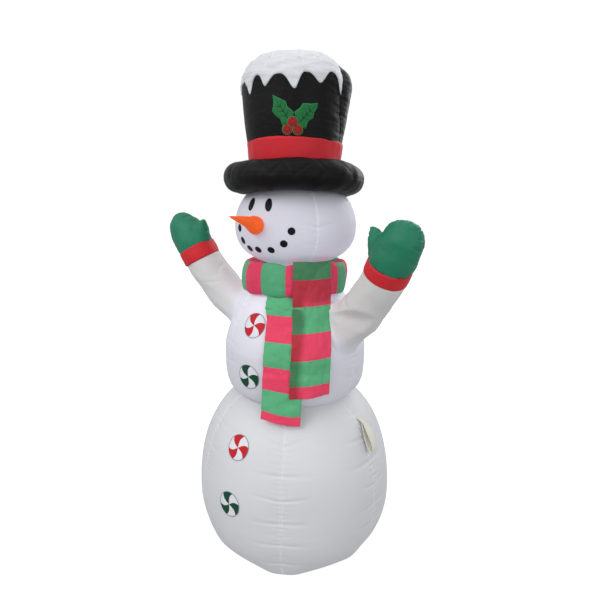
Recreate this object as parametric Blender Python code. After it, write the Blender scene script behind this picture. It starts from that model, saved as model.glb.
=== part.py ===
"""Inflatable yard snowman, 1.22 m tall: sewn nylon panels kept up by a small blower.

Units are metres, +Z is up and the snowman faces -Y. The origin is the centre of the flat
base. Azimuths are degrees round +Z from the front (-Y), positive towards +X.
"""
import math

import bmesh
import bpy
from mathutils import Matrix, Vector

# ---------------------------------------------------------------- driving dimensions
SKIN = 0.0015            # thickness that stands in for each sewn nylon panel
PATCH = 0.0008           # thickness of an applique or printed patch
GAP = 0.0003             # clearance between touching pieces
SEAM = 0.0006            # clearance between two panels along a sewn seam
FACET = 12.0             # degrees of azimuth per facet of a ball

# Each ball is (centre height, radius, height above and below the centre, two exponents).
LOWER = (0.139, 0.260, 0.317, 0.213, 2.29, 2.29)
TORSO = (0.536, 0.184, 0.255, 0.135, 1.43, 5.0)
HEAD = (0.841, 0.153, 0.130, 0.098, 2.0, 2.0)
BASE_RADIUS = 0.214      # corner radius of the hexagonal base
BASE_CLEARANCE = 0.0032  # between the base panel's corners and the gores' feet
HEX_FADE = 0.085         # height over which the hexagon becomes round
WAIST_Z = 0.412
WAIST_HALF_GAP = 0.0055
NECK_Z = 0.748
NECK_HALF_GAP = 0.0070
HEAD_TOP_Z = 0.940
GORES = 6
FACE_HALF_ANGLE = 57.0   # the face panel's edges lie this far round the head

BUTTON_RADIUS = 0.0305
TORSO_BUTTONS = (("button_red_upper", 0.613), ("button_green_upper", 0.491))
LOWER_BUTTONS = (("button_red_lower", 0.323), ("button_green_lower", 0.190))
EYE_HALF = (0.0085, 0.0165)
EYE_AZIMUTH = 10.0
EYE_Z = 0.895
DOT_RADIUS = 0.0088
FACE_TURN = 2.0          # the face sits turned slightly towards +X
MOUTH = ((-27.0, 0.839), (-22.0, 0.811), (-13.0, 0.794), (0.0, 0.789),
         (13.0, 0.794), (22.0, 0.811), (27.0, 0.839))
NOSE_BASE = Vector((0.005, -0.1545, 0.848))
NOSE_TIP = Vector((0.009, -0.2500, 0.873))
NOSE_RADIUS = 0.0215

HAT_ORIGIN = Vector((0.0, 0.0, 0.995))
HAT_TURN = 36.0          # the hat's front is turned towards +X
HAT_BACK_TILT = -3.0
HAT_SIDE_TILT = -1.2
CROWN_FOOT = (0.1060, -0.030)
CROWN_SHOULDER = (0.1325, 0.188)
CROWN_ROUND = 0.035
CROWN_SEAMS = (-123.75, 56.25)  # hat azimuths of the front crown panel's two seams
CROWN_FACET = 11.25
BAND_Z = (-0.004, 0.041)
BRIM_CENTRE = (0.1395, -0.040)
BRIM_TUBE = 0.0335
BRIM_ARC = (-106.0, 150.0)  # the brim's tube, from under its inner edge to the crown's foot
DRIP_PITCH = 26.5
DRIP_MEAN_Z = 0.160
DRIP_DEPTH = 0.015
LEAF_ROOT_Z = 0.0795     # hat heights of the holly
LEAF_LENGTH = 0.056
LEAF_HALF_WIDTH = 0.0150
LEAF_SPIKE = 0.0040
LEAF_CLEFT = 0.0010      # half of the cleft between the two leaves above their root
BERRY_Z = 0.0650
BERRY_RADIUS = 0.0098

TAIL_WIDTH = 0.096
TAIL_THICKNESS = 0.0012
UNDER_TAIL_AZIMUTH = 27.0
FRONT_TAIL_EDGE = 35.0   # azimuth of the front tail's straight left edge
TAIL_LIFT = 0.0035       # how far a tail lies off what is under it
TAIL_DROP_RADIUS = 0.1905
TAIL_FLARE = 0.0065      # how far the under tail's foot stands out over the lower ball
OVER_COLLAR_RADIUS = 0.1395
UNDER_TAIL_Z = (0.378, 0.6770)
FRONT_TAIL_Z = (0.447, 0.7660)
FRONT_TAIL_SLANT = 0.006

SLEEVE_PATH = ((0.115, -0.016, 0.552), (0.165, -0.022, 0.600), (0.2165, -0.034, 0.6535),
               (0.252, -0.046, 0.697), (0.2825, -0.058, 0.740))
SLEEVE_RADII = (0.0560, 0.0550, 0.0530, 0.0510, 0.0500)
SHOULDER = Vector((0.1735, -0.022, 0.605))
SHOULDER_NORMAL = Vector((0.97, 0.0, 0.245))
CUFF_PATH = ((0.2825, -0.058, 0.740), (0.2915, -0.0615, 0.757), (0.3000, -0.0650, 0.7735))
CUFF_RADII = (0.0500, 0.0515, 0.0510)
MITTEN_PATH = ((0.3000, -0.0650, 0.7735), (0.3105, -0.068, 0.790), (0.3220, -0.0715, 0.810),
               (0.3305, -0.074, 0.830), (0.3350, -0.0755, 0.848), (0.3365, -0.076, 0.861),
               (0.3370, -0.0765, 0.8685))
MITTEN_HALF_WIDTH = (0.0505, 0.0535, 0.0545, 0.0505, 0.0415, 0.0275, 0.0115)
MITTEN_HALF_DEPTH = (0.0500, 0.0480, 0.0440, 0.0390, 0.0310, 0.0200, 0.0090)
THUMB_BASE = Vector((0.283, -0.068, 0.800))
THUMB_TIP = Vector((0.2505, -0.072, 0.851))
THUMB_RADIUS = 0.0205
ARM_SIDES = 16

BLOWER_Z = 0.120
BLOWER_RADIUS = 0.055
BLOWER_WALL = 0.003
BLOWER_Y = (0.207, 0.272)
MOTOR_RADIUS = 0.015
MOTOR_Y = (0.2143, 0.2400)
SHAFT_RADIUS = 0.0015
IMPELLER_Y = (0.2440, 0.2620)
HUB_RADIUS = 0.017
BLADE_TIP = 0.0490
BLADES = 7
GRILLE_RINGS = (0.0575, 0.0400, 0.0220)
INLET_AZIMUTH = 165.0
INLET_Z = 0.060

ZIP_Z = (0.215, 0.335)
ZIP_WIDTH = 0.024
ZIP_STOP = 0.010         # the slider stops this far from the tape's ends
SLIDER_LIFT = 0.0050     # the slider's back plate runs this far off the gore

LOOP_TOP_Z = 0.372
LOOP_LENGTH = 0.078
LOOP_BULGE = 0.0075
LOOP_WEB = 0.0015
LOOP_WIDTH = 0.025

COLOURS = {
    "white_nylon": (0.86, 0.86, 0.89, 0.55), "warm_white_nylon": (0.84, 0.83, 0.81, 0.6),
    "black_nylon": (0.02, 0.02, 0.022, 0.5), "red_nylon": (0.62, 0.03, 0.05, 0.5),
    "green_nylon": (0.04, 0.27, 0.14, 0.5), "orange_nylon": (0.95, 0.22, 0.03, 0.45),
    "holly_green": (0.05, 0.32, 0.12, 0.6), "mint_red": (0.62, 0.03, 0.05, 0.6),
    "mint_green": (0.02, 0.13, 0.07, 0.6), "coal_print": (0.02, 0.02, 0.025, 0.6),
    "scarf_red": (0.78, 0.08, 0.15, 0.7), "scarf_green": (0.10, 0.42, 0.18, 0.7),
    "webbing": (0.80, 0.78, 0.70, 0.8), "black_plastic": (0.03, 0.03, 0.03, 0.4),
    "grey_plastic": (0.30, 0.30, 0.32, 0.4), "motor_steel": (0.55, 0.55, 0.57, 0.3),
    "lamp_lens": (0.90, 0.92, 1.0, 0.2), "cable_pvc": (0.05, 0.05, 0.05, 0.5),
    "zip_nylon": (0.75, 0.75, 0.76, 0.5), "zip_metal": (0.60, 0.60, 0.60, 0.3),
}


# ---------------------------------------------------------------- materials and objects
def material(slot):
    """The Principled material of a slot, made once."""
    found = bpy.data.materials.get(slot)
    if found:
        return found
    made = bpy.data.materials.new(slot)
    made.use_nodes = True
    red, green, blue, rough = COLOURS[slot]
    shader = made.node_tree.nodes["Principled BSDF"]
    shader.inputs["Base Color"].default_value = (red, green, blue, 1.0)
    shader.inputs["Roughness"].default_value = rough
    shader.inputs["Metallic"].default_value = 1.0 if slot in ("motor_steel", "zip_metal") else 0.0
    return made


def add_object(name, shape, slot, place=None, parent=None):
    """Turn a bmesh into a named, smooth-shaded object; place is its origin in world space."""
    mesh = bpy.data.meshes.new(name)
    shape.to_mesh(mesh)
    shape.free()
    mesh.shade_smooth()
    mesh.set_sharp_from_angle(angle=math.radians(40))
    made = bpy.data.objects.new(name, mesh)
    bpy.context.collection.objects.link(made)
    mesh.materials.append(material(slot))
    if place is not None:
        mesh.transform(Matrix.Translation(-Vector(place)))
        made.location = place
    if parent is not None:
        made.parent = parent
    return made


def thicken(made, thickness):
    """Give a sheet its thickness on the inner side, which leaves the outer side in place."""
    modifier = made.modifiers.new("thickness", "SOLIDIFY")
    modifier.thickness = thickness
    modifier.offset = -1.0
    modifier.use_even_offset = True
    return made


def cutter(name, shape):
    """An object that only cuts another one."""
    made = add_object(name, shape, "grey_plastic")
    made.hide_render = True
    made.display_type = "WIRE"
    return made


def combine(made, tool, operation):
    """Boolean another object into this one."""
    modifier = made.modifiers.new(operation.lower(), "BOOLEAN")
    modifier.operation = operation
    modifier.object = tool
    modifier.solver = "EXACT"


# ---------------------------------------------------------------- shape helpers
def ball_radius(ball, z):
    """Radius of a ball's skin at a height."""
    centre, radius, above, below, power_above, power_below = ball
    if z > centre:
        share, power = (z - centre) / above, power_above
    else:
        share, power = (centre - z) / below, power_below
    return radius * max(0.0, 1.0 - share ** power) ** (1.0 / power)


def around(radius, azimuth, z):
    """A point from its radius, azimuth in degrees and height."""
    angle = math.radians(azimuth)
    return Vector((radius * math.sin(angle), -radius * math.cos(angle), z))


def even_heights(ball, low, high, count):
    """Heights that divide a ball's meridian into equal lengths."""
    fine = 400
    heights = [low + (high - low) * i / fine for i in range(fine + 1)]
    lengths = [0.0]
    for a, b in zip(heights, heights[1:]):
        rise = ball_radius(ball, b) - ball_radius(ball, a)
        lengths.append(lengths[-1] + math.hypot(rise, b - a))
    picked = []
    for step in range(count + 1):
        target = lengths[-1] * step / count
        index = min(range(len(lengths)), key=lambda i: abs(lengths[i] - target))
        picked.append(heights[index])
    return picked


def sheet(rows, wrap=False):
    """A bmesh sheet through rows of points; rows rise and columns turn anticlockwise."""
    shape = bmesh.new()
    grid = [[shape.verts.new(point) for point in row] for row in rows]
    columns = len(grid[0])
    for low, high in zip(grid, grid[1:]):
        for j in range(columns if wrap else columns - 1):
            k = (j + 1) % columns
            shape.faces.new((low[j], low[k], high[k], high[j]))
    return shape


def turned_rows(profile, first, last, facet):
    """Rows of a turned sheet from (radius, height) pairs, between two azimuths."""
    columns = max(2, round((last - first) / facet))
    azimuths = [first + (last - first) * j / columns for j in range(columns + 1)]
    return [[around(radius, azimuth, z) for azimuth in azimuths] for radius, z in profile]


def turned_ring(profile, facet):
    """A sheet turned the whole way round."""
    columns = round(360.0 / facet)
    rows = [[around(radius, facet * j, z) for j in range(columns)] for radius, z in profile]
    return sheet(rows, wrap=True)


def seam_angle(radius):
    """Half of a seam's clearance as an angle at a radius."""
    return math.degrees(SEAM / 2.0 / radius)


def frames_along(points, depth_axis):
    """The along, width and depth directions at each point of a path."""
    frames = []
    for i, point in enumerate(points):
        before = points[max(0, i - 1)]
        after = points[min(len(points) - 1, i + 1)]
        along = (after - before).normalized()
        depth = (depth_axis - along * depth_axis.dot(along)).normalized()
        frames.append((along, depth.cross(along), depth))
    return frames


def tube(points, frames, widths, depths, sides, tip=False):
    """A tapering tube sheet along a path, with a closed tip if asked."""
    rows = []
    for point, frame, width, depth in zip(points, frames, widths, depths):
        row = []
        for j in range(sides):
            angle = 2.0 * math.pi * j / sides
            row.append(point + frame[1] * (width * math.cos(angle)) - frame[2] * (depth * math.sin(angle)))
        rows.append(row)
    shape = sheet(rows, wrap=True)
    if tip:
        ring = list(shape.verts)[-sides:]
        end = shape.verts.new(points[-1] + (points[-1] - points[-2]) * 0.15)
        for j in range(sides):
            shape.faces.new((ring[j], ring[(j + 1) % sides], end))
    return shape


def drawn_in(points, frames, first, last):
    """A path's points with either end drawn in by a seam's clearance."""
    points = list(points)
    if first:
        points[0] = points[0] + frames[0][0] * SEAM
    if last:
        points[-1] = points[-1] - frames[-1][0] * SEAM
    return points


def cylinder_y(radius, low, high, sides, centre=(0.0, 0.0), inner=0.0):
    """A closed cylinder or tube along Y."""
    shape = bmesh.new()
    angles = [2.0 * math.pi * j / sides for j in range(sides)]
    outer = [(centre[0] + radius * math.cos(a), centre[1] + radius * math.sin(a)) for a in angles]
    loops = [outer]
    if inner:
        loops.append([(centre[0] + inner * math.cos(a), centre[1] + inner * math.sin(a)) for a in angles])
    rings = [[[shape.verts.new((x, y, z)) for x, z in loop] for y in (low, high)] for loop in loops]
    for j in range(sides):
        k = (j + 1) % sides
        near, far = rings[0]
        shape.faces.new((near[j], near[k], far[k], far[j]))
        if inner:
            inner_near, inner_far = rings[1]
            shape.faces.new((inner_near[k], inner_near[j], inner_far[j], inner_far[k]))
            shape.faces.new((near[k], near[j], inner_near[j], inner_near[k]))
            shape.faces.new((far[j], far[k], inner_far[k], inner_far[j]))
    if not inner:
        shape.faces.new(list(reversed(rings[0][0])))
        shape.faces.new(rings[0][1])
    bmesh.ops.recalc_face_normals(shape, faces=shape.faces)
    return shape


def box(low, high):
    """A closed box between two corners."""
    shape = bmesh.new()
    bmesh.ops.create_cube(shape, size=1.0)
    low, high = Vector(low), Vector(high)
    for vert in shape.verts:
        vert.co = Vector(((low[i] + high[i]) / 2.0 + vert.co[i] * (high[i] - low[i]) for i in range(3)))
    return shape


def joined(shapes):
    """One closed bmesh from several closed ones that overlap, united by exact booleans."""
    parts = [cutter(f"join_{i}", shape) for i, shape in enumerate(shapes)]
    for part in parts[1:]:
        combine(parts[0], part, "UNION")
    graph = bpy.context.evaluated_depsgraph_get()
    mesh = bpy.data.meshes.new_from_object(parts[0].evaluated_get(graph))
    result = bmesh.new()
    result.from_mesh(mesh)
    for part in parts:
        bpy.data.objects.remove(part)
    bpy.data.meshes.remove(mesh)
    return result


def surface_patch(ball, azimuth, z, half_width, half_height, sides=24):
    """An oval patch that lies on a ball, just clear of it."""
    slope = (ball_radius(ball, z + 0.002) - ball_radius(ball, z - 0.002)) / 0.004
    rise = 1.0 / math.hypot(1.0, slope)
    lift = GAP + PATCH + 0.0003

    def place(u, v):
        height = z + v * rise
        radius = ball_radius(ball, height)
        turn = azimuth + math.degrees(u / radius)
        outward = (around(1.0, turn, 0.0) - Vector((0, 0, slope))).normalized()
        return around(radius, turn, height) + outward * lift

    shape = bmesh.new()
    centre = shape.verts.new(place(0.0, 0.0))
    rings = []
    for share in (0.5, 1.0):
        ring = []
        for j in range(sides):
            angle = 2.0 * math.pi * j / sides
            point = place(half_width * share * math.cos(angle), half_height * share * math.sin(angle))
            ring.append(shape.verts.new(point))
        rings.append(ring)
    for j in range(sides):
        k = (j + 1) % sides
        shape.faces.new((centre, rings[0][j], rings[0][k]))
        shape.faces.new((rings[0][j], rings[1][j], rings[1][k], rings[0][k]))
    return shape


# ---------------------------------------------------------------- the balls
def gore_rows(ball, centre, heights, hexagon):
    """One gore between two seams; at the foot a hexagonal base flattens it."""
    half = 180.0 / GORES
    columns = round(2.0 * half / FACET)
    rows = []
    for z in heights:
        radius = ball_radius(ball, z)
        share = hexagon * max(0.0, 1.0 - z / HEX_FADE) ** 2
        edge = half - seam_angle(radius) * (1.0 + 4.0 * share)
        row = []
        for j in range(columns + 1):
            offset = -edge + 2.0 * edge * j / columns
            flat = math.cos(math.radians(half)) / math.cos(math.radians(offset))
            row.append(around(radius * (1.0 - share + share * flat), centre + offset, z))
        rows.append(row)
    return rows


def lower_gores():
    """Six gores of the lower ball; the rear one has holes for the blower and power inlet."""
    heights = even_heights(LOWER, 0.0, WAIST_Z - WAIST_HALF_GAP, 9)
    for i in range(GORES):
        shape = sheet(gore_rows(LOWER, 60.0 * i, heights, 1.0))
        made = add_object(f"lower_gore_{i + 1}", shape, "white_nylon")
        thicken(made, SKIN)
        if i == GORES // 2:
            hole = cylinder_y(BLOWER_RADIUS + GAP, 0.20, 0.30, 32, (0.0, BLOWER_Z))
            combine(made, cutter("blower_hole", hole), "DIFFERENCE")
            combine(made, cutter("inlet_hole", inlet_cylinder(0.0066, -0.03, 0.03)), "DIFFERENCE")


def base_panel():
    """Hexagonal floor panel inside the gores' feet."""
    inset = 1.3 * SKIN + BASE_CLEARANCE
    radius = BASE_RADIUS - inset
    shape = bmesh.new()
    corners = [shape.verts.new(around(radius, 30.0 + 60.0 * i, 0.003)) for i in range(GORES)]
    shape.faces.new(corners)
    thicken(add_object("base_panel", shape, "white_nylon"), 0.003)


def torso_gores():
    """Six gores of the middle ball."""
    heights = even_heights(TORSO, WAIST_Z + WAIST_HALF_GAP, NECK_Z - NECK_HALF_GAP, 7)
    for i in range(GORES):
        shape = sheet(gore_rows(TORSO, 60.0 * i, heights, 0.0))
        thicken(add_object(f"torso_gore_{i + 1}", shape, "white_nylon"), SKIN)


def head_panels():
    """A face panel and two rear panels."""
    heights = even_heights(HEAD, NECK_Z + NECK_HALF_GAP, HEAD_TOP_Z, 7)
    profile = [(ball_radius(HEAD, z), z) for z in heights]
    edges = (("face_panel", -FACE_HALF_ANGLE, FACE_HALF_ANGLE),
             ("head_panel_left", FACE_HALF_ANGLE, 180.0),
             ("head_panel_right", 180.0, 360.0 - FACE_HALF_ANGLE))
    for name, first, last in edges:
        trim = seam_angle(0.085)
        rows = turned_rows(profile, first + trim, last - trim, FACET)
        thicken(add_object(name, sheet(rows), "white_nylon"), SKIN)


# ---------------------------------------------------------------- face and buttons
def face():
    """Eyes, mouth dots and carrot nose."""
    for name, azimuth in (("eye_right", -EYE_AZIMUTH), ("eye_left", EYE_AZIMUTH)):
        shape = surface_patch(HEAD, azimuth + FACE_TURN, EYE_Z, *EYE_HALF, sides=16)
        thicken(add_object(name, shape, "coal_print"), PATCH)
    for i, (azimuth, z) in enumerate(MOUTH):
        shape = surface_patch(HEAD, azimuth + FACE_TURN, z, DOT_RADIUS, DOT_RADIUS, sides=12)
        thicken(add_object(f"mouth_dot_{i + 1}", shape, "coal_print"), PATCH)
    along = NOSE_TIP - NOSE_BASE
    shares = (0.0, 0.12, 0.35, 0.62, 0.86, 0.97)
    swell = (1.0, 0.98, 0.80, 0.52, 0.24, 0.09)
    path = [NOSE_BASE + along * share for share in shares]
    rows = []
    side = Vector((1, 0, 0))
    top = along.normalized().cross(side).normalized()
    for point, share in zip(path, swell):
        radius = NOSE_RADIUS * share
        row = []
        for j in range(16):
            angle = 2.0 * math.pi * j / 16
            row.append(point + side * (radius * math.cos(angle)) - top * (radius * math.sin(angle)))
        rows.append(row)
    shape = sheet(rows, wrap=True)
    ring = list(shape.verts)[-16:]
    end = shape.verts.new(NOSE_TIP)
    for j in range(16):
        shape.faces.new((ring[j], ring[(j + 1) % 16], end))
    bmesh.ops.recalc_face_normals(shape, faces=shape.faces)
    thicken(add_object("carrot_nose", shape, "orange_nylon", place=NOSE_BASE), 0.0012)


def buttons():
    """Peppermint patches down the front."""
    for ball, group in ((TORSO, TORSO_BUTTONS), (LOWER, LOWER_BUTTONS)):
        for name, z in group:
            shape = surface_patch(ball, 0.0, z, BUTTON_RADIUS, BUTTON_RADIUS)
            slot = "mint_red" if "red" in name else "mint_green"
            thicken(add_object(name, shape, slot), PATCH)


# ---------------------------------------------------------------- hat
def hat_frame():
    """The hat's own frame: turned to the side, tilted back a little."""
    frame = bpy.data.objects.new("hat_frame", None)
    bpy.context.collection.objects.link(frame)
    back = Matrix.Rotation(math.radians(HAT_BACK_TILT), 4, "X")
    sideways = Matrix.Rotation(math.radians(HAT_SIDE_TILT), 4, "Y")
    turn = Matrix.Rotation(math.radians(HAT_TURN), 4, "Z")
    frame.matrix_world = Matrix.Translation(HAT_ORIGIN) @ back @ sideways @ turn
    return frame


def crown_profile():
    """(radius, height) pairs up the crown's side to its rounded top edge."""
    foot_r, foot_z = CROWN_FOOT
    top_r, top_z = CROWN_SHOULDER
    profile = [(foot_r + (top_r - foot_r) * i / 3, foot_z + (top_z - foot_z) * i / 3) for i in range(4)]
    centre = top_r - CROWN_ROUND
    for degrees in (20, 40, 60):
        angle = math.radians(degrees)
        profile.append((centre + CROWN_ROUND * math.cos(angle), top_z + CROWN_ROUND * math.sin(angle)))
    return profile


def crown_radius(z):
    """Radius of the crown's straight side at a height."""
    foot_r, foot_z = CROWN_FOOT
    top_r, top_z = CROWN_SHOULDER
    return foot_r + (top_r - foot_r) * (z - foot_z) / (top_z - foot_z)


def crown(frame):
    """Front and rear crown panels, the domed top, the red band and the puffed brim."""
    first, last = CROWN_SEAMS
    trim = seam_angle(0.115)
    profile = crown_profile()
    front = sheet(turned_rows(profile, first + trim, last - trim, CROWN_FACET))
    thicken(add_object("crown_front", front, "black_nylon", parent=frame), SKIN)
    rear = sheet(turned_rows(profile, last + trim, 360.0 + first - trim, CROWN_FACET))
    thicken(add_object("crown_rear", rear, "black_nylon", parent=frame), SKIN)

    centre = CROWN_SHOULDER[0] - CROWN_ROUND
    top = []
    for degrees in (62.5, 76, 90):
        angle = math.radians(degrees)
        rise = CROWN_ROUND * math.sin(angle)
        top.append((centre + CROWN_ROUND * math.cos(angle), CROWN_SHOULDER[1] + rise))
    top += [(0.06, top[-1][1] + 0.0035)]
    shape = turned_ring(top, CROWN_FACET)
    sides = round(360.0 / CROWN_FACET)
    ring = list(shape.verts)[-sides:]
    peak = shape.verts.new((0.0, 0.0, top[-1][1] + 0.0020))
    for j in range(sides):
        shape.faces.new((ring[j], ring[(j + 1) % sides], peak))
    thicken(add_object("crown_top", shape, "white_nylon", parent=frame), SKIN)

    heights = [BAND_Z[0] + (BAND_Z[1] - BAND_Z[0]) * i / 2 for i in range(3)]
    bulge = (0.0, 0.0016, 0.0)
    ring = [(crown_radius(z) + SKIN + 0.0012 + swell, z) for z, swell in zip(heights, bulge)]
    thicken(add_object("hat_band", turned_ring(ring, CROWN_FACET), "red_nylon", parent=frame), SKIN)

    rows = []
    for i in range(11):
        angle = math.radians(BRIM_ARC[0] + (BRIM_ARC[1] - BRIM_ARC[0]) * i / 10)
        across, up = BRIM_TUBE * math.cos(angle), BRIM_TUBE * math.sin(angle)
        rows.append((BRIM_CENTRE[0] + across, BRIM_CENTRE[1] + up))
    thicken(add_object("hat_brim", turned_ring(rows, 15.0), "black_nylon", parent=frame), SKIN)


def drip_edge(azimuth):
    """Height of the snow's lower edge at an azimuth of the hat."""
    wave = math.cos(2.0 * math.pi * azimuth / DRIP_PITCH)
    return DRIP_MEAN_Z - DRIP_DEPTH * wave


def snow_drips(frame):
    """White drips sewn over the top of the front crown panel."""
    first, last = CROWN_SEAMS[0] + 0.6, CROWN_SEAMS[1] - 0.6
    columns = 54
    azimuths = [first + (last - first) * j / columns for j in range(columns + 1)]
    lift = PATCH + 0.0012
    rows = []
    for i in range(2):
        row = []
        for azimuth in azimuths:
            low = drip_edge(azimuth)
            z = low + (CROWN_SHOULDER[1] - low) * i / 2
            row.append(around(crown_radius(z) + lift, azimuth, z))
        rows.append(row)
    for i, (radius, z) in enumerate(crown_profile()[3:]):
        angle = math.radians(20.0 * i)
        reach = radius + lift * math.cos(angle)
        rise = z + lift * math.sin(angle)
        rows.append([around(reach, azimuth, rise) for azimuth in azimuths])
    thicken(add_object("snow_drips", sheet(rows), "white_nylon", parent=frame), PATCH)


def holly(frame):
    """A pair of joined holly leaves and a trefoil of berries, patches on the crown's front."""
    lift = PATCH + 0.0009

    def place(u, z, extra=0.0):
        radius = crown_radius(z) + lift + extra
        return around(radius, math.degrees(u / radius), z)

    upright = Vector((0.0, 1.0))
    leaves = bmesh.new()
    for side in (-1.0, 1.0):
        root = Vector((0.0, LEAF_ROOT_Z))
        along = Vector((side * 0.70, 0.90)).normalized()
        across = Vector((-along[1] * side, along[0] * side))
        rows = [[], [], []]
        for i in range(9):
            share = i / 8
            swell = LEAF_HALF_WIDTH * math.sin(math.pi * (0.20 + 0.80 * share))
            half = max(swell + (LEAF_SPIKE if i % 2 else 0.0), 0.0012)
            turn = min(1.0, share * 3.0)
            width = (upright * (1.0 - turn) + across * turn).normalized() * half
            spine = root + along * LEAF_LENGTH * share
            for row, offset in zip(rows, (-1.0, 0.0, 1.0)):
                point = spine + width * offset
                if i > 0:
                    point.x = side * max(side * point.x, LEAF_CLEFT)
                row.append(leaves.verts.new(place(*point)))
        for low, high in zip(rows, rows[1:]):
            for j in range(8):
                leaves.faces.new((low[j], low[j + 1], high[j + 1], high[j]))
    bmesh.ops.remove_doubles(leaves, verts=leaves.verts, dist=1e-6)
    bmesh.ops.recalc_face_normals(leaves, faces=leaves.faces)
    face_out(leaves)
    thicken(add_object("holly_leaves", leaves, "holly_green", parent=frame), PATCH)

    centres = [Vector(point) for point in ((-0.0115, -0.006), (0.0115, -0.006), (0.0, 0.0125))]
    middle_z = BERRY_Z
    berries = bmesh.new()
    centre = berries.verts.new(place(0.0, middle_z, 0.0024))
    rings = []
    for share, rise in ((0.5, 0.0020), (1.0, 0.0014)):
        ring = []
        for j in range(36):
            angle = 2.0 * math.pi * j / 36
            ray = Vector((math.cos(angle), math.sin(angle)))
            reach = max(circle_exit(ray, point, BERRY_RADIUS) for point in centres) * share
            ring.append(berries.verts.new(place(ray[0] * reach, middle_z + ray[1] * reach, rise)))
        rings.append(ring)
    for j in range(36):
        k = (j + 1) % 36
        berries.faces.new((centre, rings[0][j], rings[0][k]))
        berries.faces.new((rings[0][j], rings[1][j], rings[1][k], rings[0][k]))
    face_out(berries)
    thicken(add_object("holly_berries", berries, "mint_red", parent=frame), PATCH)


def circle_exit(ray, centre, radius):
    """How far a ray from the origin runs before it leaves a circle, or 0 where it misses."""
    along = ray.dot(centre)
    inside = along * along - centre.length_squared + radius * radius
    return along + math.sqrt(inside) if inside > 0.0 else 0.004


def face_out(shape):
    """Turn a sheet on the crown's front so that its faces look outwards."""
    shape.normal_update()
    total = Vector((0, 0, 0))
    for facet in shape.faces:
        total += facet.normal * facet.calc_area()
    if total.y > 0:
        bmesh.ops.reverse_faces(shape, faces=shape.faces)


# ---------------------------------------------------------------- scarf
COLLAR = ((0.1215, 0.6915), (0.1285, 0.6800), (0.1330, 0.6900), (0.1350, 0.7100), (0.1350, 0.7300),
          (0.1320, 0.7490), (0.1250, 0.7610), (0.1165, 0.7620), (0.1070, 0.7510))


def under_tail_radius(z):
    """How far out the under tail hangs: over the chest, then straight down."""
    chest = ball_radius(TORSO, max(z, TORSO[0])) + TAIL_LIFT
    if z > 0.66:
        return chest
    hanging = TAIL_DROP_RADIUS - max(0.0, z - 0.50) * 0.25
    flare = TAIL_FLARE * max(0.0, (0.44 - z) / 0.06)
    return max(chest, hanging + flare)


def front_tail_radius(z):
    """The front tail lies over the collar and then over the under tail."""
    if z > 0.70:
        height = (z - 0.70) / 0.066
        return OVER_COLLAR_RADIUS - 0.0110 * height ** 3
    return max(OVER_COLLAR_RADIUS + (0.70 - z) * 0.13, under_tail_radius(z) + TAIL_LIFT)


def tail_sheet(edge, centre, radius_at, top, bottom, slant):
    """A tail as a curved strip of constant width, with a slanted lower hem."""
    rows = []
    for i in range(12):
        row = []
        for j in range(6):
            across = j / 5
            foot = bottom + slant * across
            z = foot + (top - foot) * i / 11
            radius = radius_at(z)
            if edge is not None:
                azimuth = edge + math.degrees(TAIL_WIDTH * across / radius)
            else:
                azimuth = centre + math.degrees(TAIL_WIDTH * (across - 0.5) / radius)
            row.append(around(radius, azimuth, z))
        rows.append(row)
    return sheet(rows)


def scarf():
    """The padded collar and its two hanging tails."""
    thicken(add_object("scarf_collar", turned_ring(COLLAR, 15.0), "scarf_green"), SKIN)
    foot, top = UNDER_TAIL_Z
    under = tail_sheet(None, UNDER_TAIL_AZIMUTH, under_tail_radius, top, foot, 0.0)
    hinge = around(under_tail_radius(top), UNDER_TAIL_AZIMUTH, top)
    thicken(add_object("scarf_tail_under", under, "scarf_red", place=hinge), TAIL_THICKNESS)
    foot, top = FRONT_TAIL_Z
    front = tail_sheet(FRONT_TAIL_EDGE, None, front_tail_radius, top, foot, FRONT_TAIL_SLANT)
    hinge = around(front_tail_radius(top), FRONT_TAIL_EDGE + 20.0, top)
    thicken(add_object("scarf_tail_front", front, "scarf_green", place=hinge), TAIL_THICKNESS)


# ---------------------------------------------------------------- arms
def arm(side, label):
    """Sleeve, cuff and mitten of one raised arm."""
    whole = SLEEVE_PATH + CUFF_PATH[1:] + MITTEN_PATH[1:]
    path = [Vector((x * side, y, z)) for x, y, z in whole]
    frames = frames_along(path, Vector((0, 1, 0)))
    wrist = len(SLEEVE_PATH) - 1
    knuckle = wrist + len(CUFF_PATH) - 1
    shoulder = Vector((SHOULDER.x * side, SHOULDER.y, SHOULDER.z))
    normal = Vector((SHOULDER_NORMAL.x * side, 0.0, SHOULDER_NORMAL.z)).normalized()

    part = frames[:wrist + 1]
    points = drawn_in(path[:wrist + 1], part, False, True)
    sleeve = tube(points, part, SLEEVE_RADII, SLEEVE_RADII, ARM_SIDES)
    everything = list(sleeve.verts) + list(sleeve.edges) + list(sleeve.faces)
    bmesh.ops.bisect_plane(sleeve, geom=everything, plane_co=shoulder, plane_no=normal, clear_inner=True)
    outward_tube(sleeve, path[2])
    thicken(add_object(f"sleeve_{label}", sleeve, "warm_white_nylon", place=shoulder), SKIN)

    part = frames[wrist:knuckle + 1]
    points = drawn_in(path[wrist:knuckle + 1], part, True, True)
    cuff = tube(points, part, CUFF_RADII, CUFF_RADII, ARM_SIDES)
    outward_tube(cuff, points[1])
    thicken(add_object(f"cuff_{label}", cuff, "red_nylon", place=shoulder), SKIN)

    part = frames[knuckle:]
    points = drawn_in(path[knuckle:], part, True, False)
    hand = mitten(side, points, part)
    thicken(add_object(f"mitten_{label}", hand, "green_nylon", place=shoulder), SKIN)


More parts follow.
